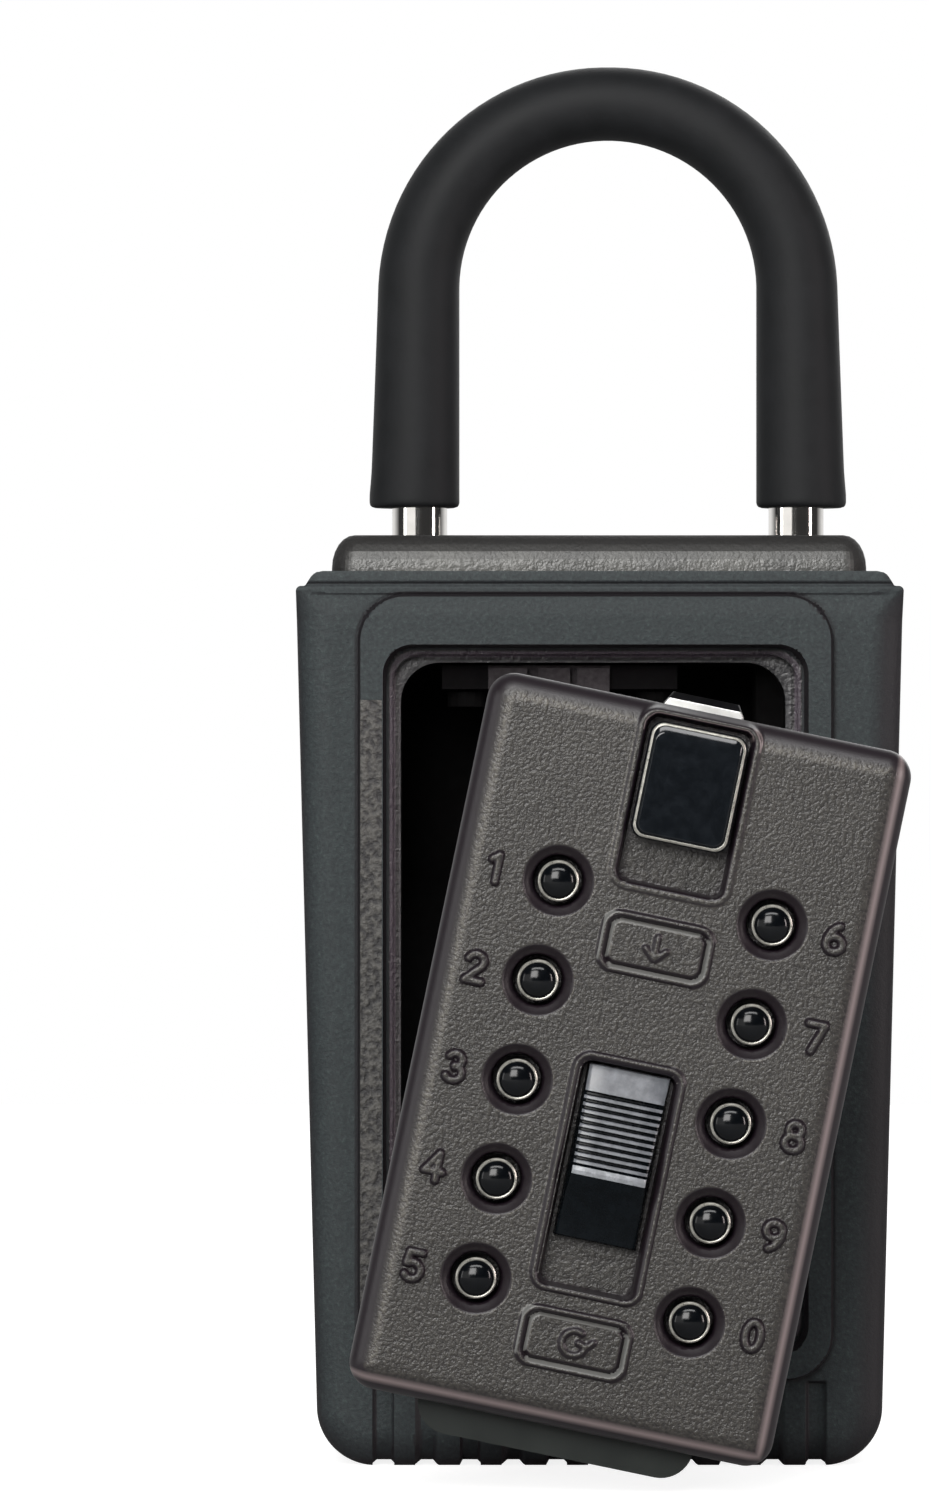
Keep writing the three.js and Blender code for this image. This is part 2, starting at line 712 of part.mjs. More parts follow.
const lid = new THREE.Group();
lid.position.set(LID_X, LID_Y, LID_Z);
lid.rotation.y = LID_TURN;
lid.add(piece("lid_cover", lidCover(), "lidPaint"));
lid.add(piece("back_plate", backPlate(), "plate"));
lid.add(piece("mechanism_cover", mechanismCover(), "nylon"));
earPlaces().forEach(([x, z], i) => {
  lid.add(piece(`cover_screw_${i + 1}`, coverScrew(x, z), "steel"));
});
KEYPAD.forEach(({ digit, x, z }) => {
  lid.add(piece(`button_${digit}`, button(x, z), "blackPlastic"));
  lid.add(piece(`button_spring_${digit}`, buttonSpring(x, z), "steel"));
  lid.add(piece(`code_stud_${digit}`, codeStud(x, z), "brass"));
});
lid.add(piece("open_knob", openKnob(), "blackPlastic"));
lid.add(piece("latch_plate", latchPlate(), "chrome"));
lid.add(piece("latch_spring", spring(1.5, 0.25, 6, 7.6, 17.4, "z", 0, 3.6), "steel"));
lid.add(piece("clear_slide", clearSlide(), "blackPlastic"));
lid.add(piece("clear_plate", clearPlate(), "steel"));
lid.add(piece("clear_spring", spring(1.4, 0.25, 6, -31.2, -21.3, "z", 0, 3.8), "steel"));
lockBox.add(lid);

// The part's own origin is the hanging point: the underside of the sleeve at the top of the bow.
const BOW_R = (LEG_RIGHT - LEG_LEFT) / 2;
lockBox.position.set(-(LEG_LEFT + LEG_RIGHT) / 2, -SHACKLE_Y, SLEEVE_R - BOW_R - BOW_Z);

const part = new THREE.Group();
part.add(lockBox);

export default part;
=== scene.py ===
"""Key lock box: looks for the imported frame, with its floor, lights and camera.

Lengths in the tables below are millimetres, and MM turns them into metres. The case is laid out from the
middle of its bottom edge at the back (x right, y back, z up), and the lid about its own centre.
"""

import json
import math

import bmesh
import bpy
import numpy as np
from mathutils import Matrix, Vector


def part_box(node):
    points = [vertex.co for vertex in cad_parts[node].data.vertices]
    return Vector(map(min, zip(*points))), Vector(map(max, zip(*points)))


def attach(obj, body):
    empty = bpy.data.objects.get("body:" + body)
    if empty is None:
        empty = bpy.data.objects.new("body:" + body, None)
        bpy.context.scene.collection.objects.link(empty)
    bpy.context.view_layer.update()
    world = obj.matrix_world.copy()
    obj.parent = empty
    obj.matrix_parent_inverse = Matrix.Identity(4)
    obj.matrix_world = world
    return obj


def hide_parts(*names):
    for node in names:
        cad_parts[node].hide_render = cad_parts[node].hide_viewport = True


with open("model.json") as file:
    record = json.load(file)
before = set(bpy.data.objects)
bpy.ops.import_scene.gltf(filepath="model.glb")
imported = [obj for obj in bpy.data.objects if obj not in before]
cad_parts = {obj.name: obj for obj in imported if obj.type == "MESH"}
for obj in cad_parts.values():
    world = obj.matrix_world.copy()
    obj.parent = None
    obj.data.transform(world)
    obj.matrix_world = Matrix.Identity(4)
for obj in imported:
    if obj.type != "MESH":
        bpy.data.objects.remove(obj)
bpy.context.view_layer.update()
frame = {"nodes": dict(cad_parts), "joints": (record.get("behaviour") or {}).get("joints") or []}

MM = 0.001

# ---------- places taken from the frame ----------

JACKET_LOW, JACKET_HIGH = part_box("rubber_jacket")
SHELL_LOW, SHELL_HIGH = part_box("case_shell")
ROD_LOW, ROD_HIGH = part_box("shackle")
SLEEVE_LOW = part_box("shackle_sleeve")[0]
JOINTS = {joint["name"]: joint for joint in frame["joints"]}

CASE_X = (SHELL_LOW.x + SHELL_HIGH.x) / 2
CASE = Matrix.Translation((CASE_X, JACKET_HIGH.y, JACKET_LOW.z))

# The lid turns about the stud behind its third button.
LID_TURN = math.radians(-min(JOINTS["lid_turn"]["range_deg"]))
BUTTON_X = 11.9
ROW_TOP = 18.6
ROW_PITCH = 11.06
ROWS = 5
PIVOT_ROW = 2
PIVOT = Vector((-BUTTON_X, 0, ROW_TOP - PIVOT_ROW * ROW_PITCH)) * MM
LID_ROTATION = Matrix.Rotation(LID_TURN, 4, "Y")
LID = Matrix.Translation(Vector(JOINTS["lid_turn"]["pos_m"]) - LID_ROTATION @ PIVOT) @ LID_ROTATION

KEYPAD = [
    (digit, -BUTTON_X if i < ROWS else BUTTON_X, ROW_TOP - (i % ROWS) * ROW_PITCH)
    for i, digit in enumerate("1234567890")
]

# ---------- jacket, mm ----------

JACKET_SIDE_Y = 31.5
JACKET_MOST_Y = 42.0
JACKET_TOP = 100.3
JACKET_HALF_TOP = 34.65
JACKET_HALF_BOTTOM = 32.1
JACKET_CORNER = 6.5
PLATE_FRONT = 36.5
PLATE_TOP = 102.0
TOP_CORNER = 0.6
LIP_HALF = 33.6
LIP_CORNER = 0.6
FRAME_FRONT = 38.5
FRAME_X = -0.5
FRAME_Z = 54.6
FRAME_SIZE = (54.2, 89.6, 5.4)
RECESS_Z = 53.2
RECESS_SIZE = (48.4, 80.8, 3.4)
RECESS_FLOOR = 34.5
FRAME_RISE = 0.36
RECESS_FALL = 0.35
RIBS = 10
RIB_PITCH = 4.93
RIB_WIDTH = 2.6
RIB_DEPTH = 0.6
ROLL = (3.8, 2.2)
COARSE_BAND = {"x": (-27.3, -24.8), "y": (-JACKET_MOST_Y, -30), "z": (12.5, 87.3)}
GUIDE_LANDS = (-12.7, 1.3)

# ---------- shackle and sleeve, mm ----------

ROD_R = 3.2
ROD_CHAMFER = 0.55
SHORT_LEG_FOOT = 93.1
NOTCH = (2.33, 6.07)
NOTCH_FLOOR = 1.3
NECK = (79.6, 96.4)
NECK_R = 2.2
SLEEVE_BORE = 0.25
SLEEVE_INNER_R = 4.62
SLEEVE_TOP_R = 3.9
SLEEVE_FOOT_R = 5.75
SLEEVE_EDGE = 0.6

# ---------- lid, mm ----------

LID_SIZE = (47.2, 79.8, 3.0)
LID_THICK = 5.0
LID_EDGE = (3.2, 2.4)
WELL_R = 2.85
DISH_R = 3.85
DIGIT_X = 18.9
DIGIT_HEIGHT = 3.1
DIGIT_WIDE = 3.4
STROKE = 0.5
DIGIT_REACH = 3.2
SIGN_STROKE = 0.36
SIGN_REACH = (4.5, 2.4)
LATCH_POCKET = (12.0, 18.7, 1.4, 29.35)
LATCH_RIM = (14.2, 20.9, 2.4, 29.35)
LATCH_SLOT = (5.0, 10.3, 0.5, 31.15)
CLEAR_POCKET = (10.7, 25.1, 1.3, -12.25)
CLEAR_SLOT = (3.8, 12.4, 0.5, -12.2)
CLEAR_RIM = (12.5, 26.6, 2.0, -12.1)
LABEL = (10.6, 5.0, 1.2)
LABEL_RIM = (12.5, 6.9, 2.0)
LABEL_Z = (13.5, -30.4)
LABEL_ZONE = (6.2, 3.2)
SIGN_ZONE = (3.5, 1.9)
DIGIT_RISE = 0.55
SIGN_RISE = 0.38
DISH_DEPTH = 0.9
RIM_INSET = 0.35
RIM_HALF = 0.38
POCKET_FLOOR = 2.3
POCKET_WALL = 0.35
SLOT_FLOOR = 0.4
WELL_WALL = 0.25
WELL_FLOOR = 0.5
KNOB = (10.8, 13.0, 1.5, 31.5)
DOME = (1.96, 0.95, 4.66)

# ---------- outlines as distances: negative inside, positive outside, in mm ----------


def cornered(u, v, corner):
    """Distance from a rounded corner, for places u and v past its centre."""
    return np.hypot(np.maximum(u, 0), np.maximum(v, 0)) + np.minimum(np.maximum(u, v), 0) - corner


def ends(middle, size):
    return middle - size / 2, middle + size / 2


def rounded_box(x, z, width, height, radius, cx=0.0, cz=0.0):
    u = np.abs(x - cx) - width / 2 + radius
    v = np.abs(z - cz) - height / 2 + radius
    return cornered(u, v, radius)


def centred_box(x, z, size):
    """A rounded rectangle on the lid's middle line, from (width, height, corner, z)."""
    return rounded_box(x, z, *size[:3], 0, size[3])


def frame_edge(x, z):
    return rounded_box(x, z, *FRAME_SIZE, FRAME_X, FRAME_Z)


def recess_edge(x, z):
    return rounded_box(x, z, *RECESS_SIZE, FRAME_X, RECESS_Z)


def lid_edge(x, z):
    return rounded_box(x, z, *LID_SIZE)


def circle(x, z, radius, cx, cz):
    return np.hypot(x - cx, z - cz) - radius


def rib_grooves(x):
    """1 in the grooves between the ribs at the jacket's foot, 0 on the ribs and beside them."""
    groove = np.abs((x + RIB_PITCH / 2) % RIB_PITCH - RIB_PITCH / 2)
    half = (RIB_PITCH - RIB_WIDTH) / 2
    inside = np.abs(x) < RIBS / 2 * RIB_PITCH + half
    return np.clip((half - groove) / 0.3, 0, 1) * inside


def jacket_outline(x, z):
    """The jacket from the front: it narrows downwards, and a lip stands above its top edge."""
    lean = (JACKET_HALF_TOP - JACKET_HALF_BOTTOM) / JACKET_TOP
    low = z < JACKET_TOP / 2
    corner = np.where(low, JACKET_CORNER, TOP_CORNER)
    u = np.abs(x) - JACKET_HALF_BOTTOM - lean * z + corner
    v = np.where(low, RIB_DEPTH * rib_grooves(x) - z, z - JACKET_TOP) + corner
    body = cornered(u, v, corner)
    u = 0.84 * (np.abs(x) - LIP_HALF + 0.65 * (z - JACKET_TOP)) + LIP_CORNER
    v = z - PLATE_TOP + LIP_CORNER
    lip = cornered(u, v, LIP_CORNER)
    return np.where(z < JACKET_TOP - 0.8, body, np.minimum(body, lip))


def strokes_distance(x, z, strokes):
    """Distance from each (x, z) to the nearest of the lines through each stroke's points."""
    best = np.full(x.shape, 1e3)
    for points in strokes:
        for (ax, az), (bx, bz) in zip(points, points[1:]):
            dx, dz = bx - ax, bz - az
            t = np.clip(((x - ax) * dx + (z - az) * dz) / (dx * dx + dz * dz), 0, 1)
            best = np.minimum(best, np.hypot(x - ax - t * dx, z - az - t * dz))
    return best


def step(distance, width):
    """1 inside an outline and 0 outside it, with a smooth rise as wide as width, ending on the outline."""
    t = np.clip(-distance / width, 0, 1)
    return t * t * (3 - 2 * t)


def rolled(distance, width, depth):
    """How far a rolled edge falls away: depth at the outline, and 0 from width inside it."""
    t = 0.985 * np.clip(1 + distance / width, 0, 1)
    return depth * (1 - np.sqrt(1 - t * t))


def ridge(distance, half_width):
    """Height of a rounded ridge with steep sides, from 1 on its middle line to 0 at half_width."""
    return np.sqrt(np.maximum(1 - np.minimum(distance / half_width, 1) ** 3, 0))


def bead(distance, half_width):
    """A round bead that follows an outline."""
    return np.sqrt(np.maximum(1 - (distance / half_width) ** 2, 0))


# ---------- digits and signs ----------


def arc(cx, cz, rx, rz, start, end, count):
    angles = np.radians(np.linspace(start, end, count))
    return [(cx + rx * math.cos(a), cz + rz * math.sin(a)) for a in angles]


def digit_strokes(digit):
    """Plain digit strokes in a box one unit high, centred on the origin."""
    six = [
        arc(0, -0.21, 0.27, 0.27, 0, 360, 20),
        arc(0.26, -0.2, 0.53, 0.68, 178, 108, 9),
    ]
    return {
        "0": [arc(0, 0, 0.25, 0.48, 0, 360, 24)],
        "1": [[(0.06, -0.48), (0.06, 0.48), (-0.16, 0.3)]],
        "2": [arc(0, 0.22, 0.26, 0.26, 165, -38, 12) + [(-0.27, -0.48), (0.28, -0.48)]],
        "3": [arc(-0.01, 0.24, 0.23, 0.24, 150, -85, 12), arc(0, -0.22, 0.27, 0.26, 90, -150, 14)],
        "4": [[(0.13, -0.48), (0.13, 0.48), (-0.28, -0.18), (0.3, -0.18)]],
        "5": [[(0.24, 0.48), (-0.18, 0.48), (-0.22, 0.06)] + arc(0, -0.18, 0.27, 0.3, 125, -148, 14)],
        "6": six,
        "7": [[(-0.26, 0.48), (0.27, 0.48), (-0.05, -0.48)]],
        "8": [arc(0, 0.25, 0.21, 0.23, 0, 360, 18), arc(0, -0.22, 0.27, 0.26, 0, 360, 20)],
        "9": [[(-x, -z) for x, z in stroke] for stroke in six],
    }[digit]


def sign_strokes(kind):
    """Generic signs: a downward arrow for the latch, a turning arrow for the clearing slide."""
    if kind == "open":
        return [[(0, 1.3), (0, -1.1)], [(-1.15, -0.1), (0, -1.25), (1.15, -0.1)]]
    ring = arc(0, 0, 1.35, 1.35, 60, 350, 22)
    head_x, head_z = ring[-1]
    return [ring, [(head_x - 0.85, head_z + 0.35), (head_x, head_z), (head_x + 0.75, head_z + 0.7)]]


# ---------- mesh helpers ----------


def add_object(name, data):
    made = bpy.data.objects.new(name, data)
    bpy.context.scene.collection.objects.link(made)
    return made


def object_from(name, bm, matrix, body, node):
    """An object from a bmesh in local metres, placed by matrix, that rides on a body in place of a node."""
    mesh = bpy.data.meshes.new(name)
    bm.to_mesh(mesh)
    bm.free()
    curved = [len(p.vertices) <= 4 and p.normal.y < 0.9999 for p in mesh.polygons]
    mesh.polygons.foreach_set("use_smooth", curved)
    made = add_object(name, mesh)
    made.matrix_world = matrix
    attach(made, body)
    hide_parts(node)
    return made


def edge_split(obj, degrees):
    modifier = obj.modifiers.new("crisp edges", "EDGE_SPLIT")
    modifier.split_angle = math.radians(degrees)


def dress(made, slot, crisp_degrees, *materials):
    for material in materials:
        made.data.materials.append(material)
    edge_split(made, crisp_degrees)


def gradient(distance, x, z):
    e = 1e-3
    gx = (distance(x + e, z) - distance(x - e, z)) / (2 * e)
    gz = (distance(x, z + e) - distance(x, z - e)) / (2 * e)
    length = np.maximum(np.hypot(gx, gz), 1e-6)
    return gx / length, gz / length


def snap(x, z, distance, reach, mask):
    """Moves the mask's points within reach of an outline onto it, so that the mesh follows it."""
    d = distance(x, z)
    near = (np.abs(d) < reach) & mask
    gx, gz = gradient(distance, x, z)
    return np.where(near, x - d * gx, x), np.where(near, z - d * gz, z)


def lines(low, high, spacing, fine):
    """Grid lines from low to high, closer together round each (place, reach, spacing) in fine."""
    places = [low]
    while places[-1] < high - 1e-6:
        here = places[-1]
        gap = min([spacing] + [s for at, reach, s in fine if abs(here + s - at) <= reach + s])
        places.append(min(here + gap, high))
    return np.array(places)


def relief(bm, xs, zs, outline, height, snaps, back_rows):
    """A front surface at y = -height over an outline, with its sides carried back row by row and closed.

    snaps lists (distance, reach) outlines that the grid follows, and back_rows (y, inset) the side's rows.
    """
    x, z = np.meshgrid(xs, zs)
    start = outline(x, z)
    cell = max(np.diff(xs).max(), np.diff(zs).max())
    for distance, reach in snaps:
        x, z = snap(x, z, distance, reach, start < 0)
    inside = start < -0.3 * min(np.diff(xs).min(), np.diff(zs).min())
    gx, gz = gradient(outline, x, z)
    d = outline(x, z)
    rim = ~inside & (start < 1.5 * cell)
    x, z = np.where(rim, x - d * gx, x), np.where(rim, z - d * gz, z)
    y = -height(x, z)
    keep = rim | inside
    verts = {}
    rows, columns = x.shape
    for r in range(rows):
        for c in range(columns):
            if keep[r, c]:
                verts[r, c] = bm.verts.new((x[r, c] * MM, y[r, c] * MM, z[r, c] * MM))
    for r in range(rows - 1):
        for c in range(columns - 1):
            corners = [(r, c), (r, c + 1), (r + 1, c + 1), (r + 1, c)]
            if all(k in verts for k in corners) and any(inside[k] for k in corners):
                bm.faces.new([verts[k] for k in corners])
    bmesh.ops.delete(bm, geom=[v for v in bm.verts if not v.link_faces], context="VERTS")
    bmesh.ops.remove_doubles(bm, verts=bm.verts[:], dist=0.004 * MM)
    loop = [e for e in bm.edges if e.is_boundary]
    previous = 0.0
    for back, inset in back_rows:
        made = bmesh.ops.extrude_edge_only(bm, edges=loop)["geom"]
        loop = [e for e in made if isinstance(e, bmesh.types.BMEdge)]
        moved = list(dict.fromkeys(v for e in loop for v in e.verts))
        px = np.array([v.co.x for v in moved]) / MM
        pz = np.array([v.co.z for v in moved]) / MM
        gx, gz = gradient(outline, px, pz)
        for v, nx, nz in zip(moved, gx, gz):
            v.co.x -= nx * (inset - previous) * MM
            v.co.z -= nz * (inset - previous) * MM
            v.co.y = back * MM
        previous = inset
    backs = bmesh.ops.edgeloop_fill(bm, edges=loop)["faces"]
    bmesh.ops.triangulate(bm, faces=backs, ngon_method="EAR_CLIP")
    bmesh.ops.recalc_face_normals(bm, faces=bm.faces[:])


def lathe_y(bm, profile, sides=40):
    """A turned piece about the y direction. The profile lists (radius, y, material) from back to front."""
    rings = []
    for radius, y, _ in profile:
        if radius < 1e-6:
            rings.append([bm.verts.new((0, y * MM, 0))])
            continue
        ring = []
        for k in range(sides):
            a = 2 * math.pi * k / sides
            ring.append(bm.verts.new(Vector((radius * math.cos(a), y, radius * math.sin(a))) * MM))
        rings.append(ring)
    for (low, high), (_, _, material) in zip(zip(rings, rings[1:]), profile[1:]):
        for k in range(sides):
            n = (k + 1) % sides
            corners = [low[k % len(low)], low[n % len(low)], high[n % len(high)], high[k % len(high)]]
            unique = list(dict.fromkeys(corners))
            bm.faces.new(unique).material_index = material
    bmesh.ops.recalc_face_normals(bm, faces=bm.faces[:])


def loft(bm, loops, close=True):
    """Skin over loops of the same number of points, in metres, with the first and last filled."""
    rings = [[bm.verts.new(p) for p in loop] for loop in loops]
    for low, high in zip(rings, rings[1:]):
        for k in range(len(low)):
            n = (k + 1) % len(low)
            bm.faces.new((low[k], low[n], high[n], high[k]))
    if close:
        bm.faces.new(rings[0][::-1])
        bm.faces.new(rings[-1])
    bmesh.ops.recalc_face_normals(bm, faces=bm.faces[:])
    return rings


def rounded_loop(width, height, radius, y, cz, per_corner=10):
    """Points round a rounded rectangle in the x-z plane, in metres."""
    points = []
    for k, (sx, sz) in enumerate([(1, 1), (-1, 1), (-1, -1), (1, -1)]):
        for i in range(per_corner):
            a = math.pi / 2 * (k + i / (per_corner - 1))
            px = sx * (width / 2 - radius) + radius * math.cos(a)
            pz = cz + sz * (height / 2 - radius) + radius * math.sin(a)
            points.append(Vector((px, y, pz)) * MM)
    return points


# ---------- shader helpers ----------

# The direction the key light comes from; the lid's painted highlights sit where surfaces lean this way.
UPPER_LEFT = (-0.707, 0, 0.707)


def map_range(tree, value, low, high, start=0.0, end=1.0):
    """A node that carries the value from start..end to low..high."""
    made = tree.nodes.new("ShaderNodeMapRange")
    for name, number in (("From Min", start), ("From Max", end), ("To Min", low), ("To Max", high)):
        made.inputs[name].default_value = number
    tree.links.new(value, made.inputs["Value"])
    return made


class Look:
    """A Principled material and short ways to add textures to it."""

    def __init__(self, name, roughness, metallic=0.0, specular=0.5):
        self.material = bpy.data.materials.new(name)
        self.material.use_nodes = True
        self.tree = self.material.node_tree
        self.shader = self.tree.nodes["Principled BSDF"]
        self.shader.inputs["Roughness"].default_value = roughness
        self.shader.inputs["Metallic"].default_value = metallic
        self.shader.inputs["Specular IOR Level"].default_value = specular
        self.place = self.tree.nodes.new("ShaderNodeTexCoord").outputs["Object"]
        self.normal = None

    def node(self, kind, inputs=(), **values):
        """A new node with its plain numbers: inputs lists (socket, number), and values its settings."""
        made = self.tree.nodes.new(kind)
        for key, value in values.items():
            setattr(made, key, value)
        for socket, number in inputs:
            made.inputs[socket].default_value = number
        return made

    def link(self, output, socket):
        self.tree.links.new(output, socket)

    def feed(self, socket, value):
        """Joins an output to a socket, or sets a plain number or colour on it."""
        if hasattr(value, "is_output"):
            self.link(value, socket)
        else:
            socket.default_value = value if socket.type == "VALUE" else (*value, 1)

    def noise(self, size_mm, detail=3, roughness=0.6, stretch=None):
        """Noise whose features are about size_mm across."""
        inputs = [("Scale", 0.75 / (size_mm * MM)), ("Detail", detail), ("Roughness", roughness)]
        made = self.node("ShaderNodeTexNoise", inputs)
        place = self.place
        if stretch:
            mapping = self.node("ShaderNodeMapping", [("Scale", stretch)])
            self.link(place, mapping.inputs["Vector"])
            place = mapping.outputs["Vector"]
        self.link(place, made.inputs["Vector"])
        return made.outputs["Fac"]

    def ramp(self, value, stops):
        made = self.node("ShaderNodeValToRGB")
        elements = made.color_ramp.elements
        while len(elements) < len(stops):
            elements.new(0.5)
        for element, (place, colour) in zip(elements, stops):
            element.position = place
            element.color = (*colour, 1)
        self.link(value, made.inputs["Fac"])
        return made.outputs["Color"]

    def shares(self, value, *stops):
        """A share set by the value: stops are (value, share)."""
        return self.ramp(value, [(place, (share, share, share)) for place, share in stops])

    def mix(self, share, low, high, blend="MIX"):
        made = self.node("ShaderNodeMix", data_type="RGBA", blend_type=blend)
        sockets = (made.inputs["Factor"], made.inputs[6], made.inputs[7])
        for socket, value in zip(sockets, (share, low, high)):
            self.feed(socket, value)
        return made.outputs[2]

    def scaled(self, *value_and_spans):
        """A value carried to a new span, from (value, low, high, start, end) as in map_range."""
        return map_range(self.tree, *value_and_spans).outputs["Result"]

    def split(self, vector):
        """The x, y and z of a vector."""
        made = self.node("ShaderNodeSeparateXYZ")
        self.link(vector, made.inputs[0])
        return made.outputs

    def surface(self):
        """The surface's own direction in the object's axes."""
        return self.node("ShaderNodeTexCoord").outputs["Normal"]

    def maths(self, operation, *values):
        made = self.node("ShaderNodeMath", operation=operation)
        for socket, value in zip(made.inputs, values):
            self.feed(socket, value)
        return made.outputs[0]

    def vector(self, operation, first, second=None):
        made = self.node("ShaderNodeVectorMath", operation=operation)
        self.link(first, made.inputs[0])
        if second is not None:
            made.inputs[1].default_value = second
        return made

    def hollows(self, reach_mm):
        """0 deep in a recess and 1 on open surfaces."""
        made = self.node("ShaderNodeAmbientOcclusion", [("Distance", reach_mm * MM)], samples=6)
        return self.shares(made.outputs["AO"], (0.35, 0), (0.8, 1))

    def flatness(self, steep, flat):
        """1 where the surface lies square to the object's front or back, 0 on its edges (cosines)."""
        return self.scaled(self.maths("ABSOLUTE", self.split(self.surface())["Y"]), 0, 1, steep, flat)

    def facing(self, steep, flat):
        """1 where the surface faces the object's front, 0 where it turns away from it (cosines)."""
        return self.scaled(self.split(self.surface())["Y"], 0, 1, -steep, -flat)

    def painted_edge_reflection(self):
        """1 along the middle of the rolls that turn right and down, where the lid paint takes a painted
        reflection.
        """
        axes = self.split(self.surface())
        larger = self.maths("MAXIMUM", axes["X"], self.maths("MULTIPLY", axes["Z"], -1))
        roll = self.shares(larger, (0.3, 0), (0.47, 1), (0.66, 0))
        half_x, half_z = (size / 2 - LID_EDGE[0] for size in LID_SIZE[:2])
        face = self.inside(x=(-half_x, half_x), z=(-half_z, half_z))
        return self.maths("MULTIPLY", roll, self.maths("SUBTRACT", 1, face))

    def leaning(self, direction, *stops):
        """A share set by how far the surface leans in a direction: stops are (sine of the lean, share)."""
        lean = self.vector("DOT_PRODUCT", self.surface(), direction).outputs["Value"]
        return self.shares(lean, *stops)

    def label_zone(self):
        """1 over the rims of the two raised labels of the lid."""
        zones = []
        for cz in LABEL_Z:
            plate, sign = (self.inside(x=(-w, w), z=(cz - h, cz + h)) for w, h in (LABEL_ZONE, SIGN_ZONE))
            zones.append(self.maths("SUBTRACT", plate, sign))
        return self.maths("MAXIMUM", *zones)

    def inside(self, **spans):
        """1 where the place lies in every span (in mm), 0 elsewhere."""
        axes = self.split(self.place)
        share = None
        for axis, (low, high) in spans.items():
            within = self.maths("COMPARE", axes[axis.upper()], (low + high) / 2 * MM, (high - low) / 2 * MM)
            share = within if share is None else self.maths("MULTIPLY", share, within)
        return share

    def ring_distance(self, centre, width, tall, corner):
        """Distance in mm outside a rounded rectangle about a place on the front, negative within it."""
        shifted = self.vector("SUBTRACT", self.place, centre).outputs["Vector"]
        reach = (width / 2 * MM - corner * MM, 1, tall / 2 * MM - corner * MM)
        folded = self.vector("ABSOLUTE", shifted).outputs["Vector"]
        beyond = self.vector("SUBTRACT", folded, reach).outputs["Vector"]
        past_corner = self.vector("MAXIMUM", beyond, (0, 0, 0)).outputs["Vector"]
        axes = self.split(beyond)
        straight = self.maths("MINIMUM", self.maths("MAXIMUM", axes["X"], axes["Z"]), 0)
        total = self.maths("ADD", self.vector("LENGTH", past_corner).outputs["Value"], straight)
        return self.maths("MULTIPLY", self.maths("SUBTRACT", total, corner * MM), 1 / MM)

    def fall(self, top, start, end):
        """A share that rises from 0 to 1 between two distances below a height, all in mm."""
        below = self.maths("SUBTRACT", (top - start) * MM, self.split(self.place)["Z"])
        share = self.maths("MULTIPLY", below, 1 / ((end - start) * MM))
        return self.shares(share, (0, 0), (1, 1))

    def soften(self, radius_mm):
        """Rounds hard edges in the shading."""
        made = self.node("ShaderNodeBevel", [("Radius", radius_mm * MM)], samples=4)
        self.normal = made.outputs["Normal"]

    def bump(self, value, strength, depth_mm):
        made = self.node("ShaderNodeBump", [("Strength", strength), ("Distance", depth_mm * MM)])
        self.link(value, made.inputs["Height"])
        if self.normal is not None:
            self.link(self.normal, made.inputs["Normal"])
        self.normal = made.outputs["Normal"]

    def done(self, colour, roughness=None):
        for name, value in (("Base Color", colour), ("Roughness", roughness), ("Normal", self.normal)):
            if value is not None:
                self.feed(self.shader.inputs[name], value)
        return self.material


# ---------- materials ----------


def lid_paint():
    """Warm dark grey textured paint with lumps that glint, painted highlights on the up-left shoulders and
    label rims, a painted reflection on the right and bottom rolls, and painted shade on steep sides and in
    recesses.
    """
    look = Look("lid_paint", 0.42, specular=0.5)
    lumps = look.noise(0.31, 2.0, 0.55)
    broad = look.noise(0.8, 2.0, 0.5)
    cloud = look.noise(9)
    tone = look.ramp(cloud, [(0.3, (0.0212, 0.0194, 0.0178)), (0.7, (0.0272, 0.0249, 0.0228))])
    speck = look.ramp(lumps, [(0.38, (0.66, 0.64, 0.66)), (0.62, (1.35, 1.36, 1.28))])
    painted = look.mix(1.0, tone, speck, "MULTIPLY")
    # Painted highlight: the colour is made 2.3 times lighter where the surface leans a little towards the
    # upper left, on the top and left shoulders.
    painted_shoulder_highlight = look.mix(1.0, painted, (2.3, 2.3, 2.25), "MULTIPLY")
    shoulder_highlight_share = look.leaning(UPPER_LEFT, (0.02, 0), (0.09, 1), (0.15, 1), (0.24, 0))
    painted = look.mix(shoulder_highlight_share, painted, painted_shoulder_highlight)
    # Painted shade: steep sides that turn from the front, and recesses found through the hollows share,
    # take a dark purple-brown.
    front = look.facing(0.9, 0.978)
    dark = (0.0085, 0.0050, 0.0078)
    colour = look.mix(look.hollows(1.4), dark, look.mix(front, dark, painted))
    # Painted reflection: a pale pinkish band along the middle of the right and bottom rolls.
    colour = look.mix(look.painted_edge_reflection(), colour, (0.17, 0.135, 0.135))
    # Painted highlight: label rims that lean towards the upper left get a pale grey.
    painted_label_highlight = look.maths("MULTIPLY", look.leaning(UPPER_LEFT, (0.12, 0), (0.3, 1)), look.label_zone())
    colour = look.mix(painted_label_highlight, colour, (0.12, 0.12, 0.115))
    look.bump(look.mix(front, (0.5, 0.5, 0.5), lumps), 1.0, 0.15)
    look.bump(look.mix(front, (0.5, 0.5, 0.5), broad), 0.35, 0.1)
    return look.done(colour, look.mix(front, (0.4, 0.4, 0.4), look.scaled(lumps, 0.3, 0.46)))


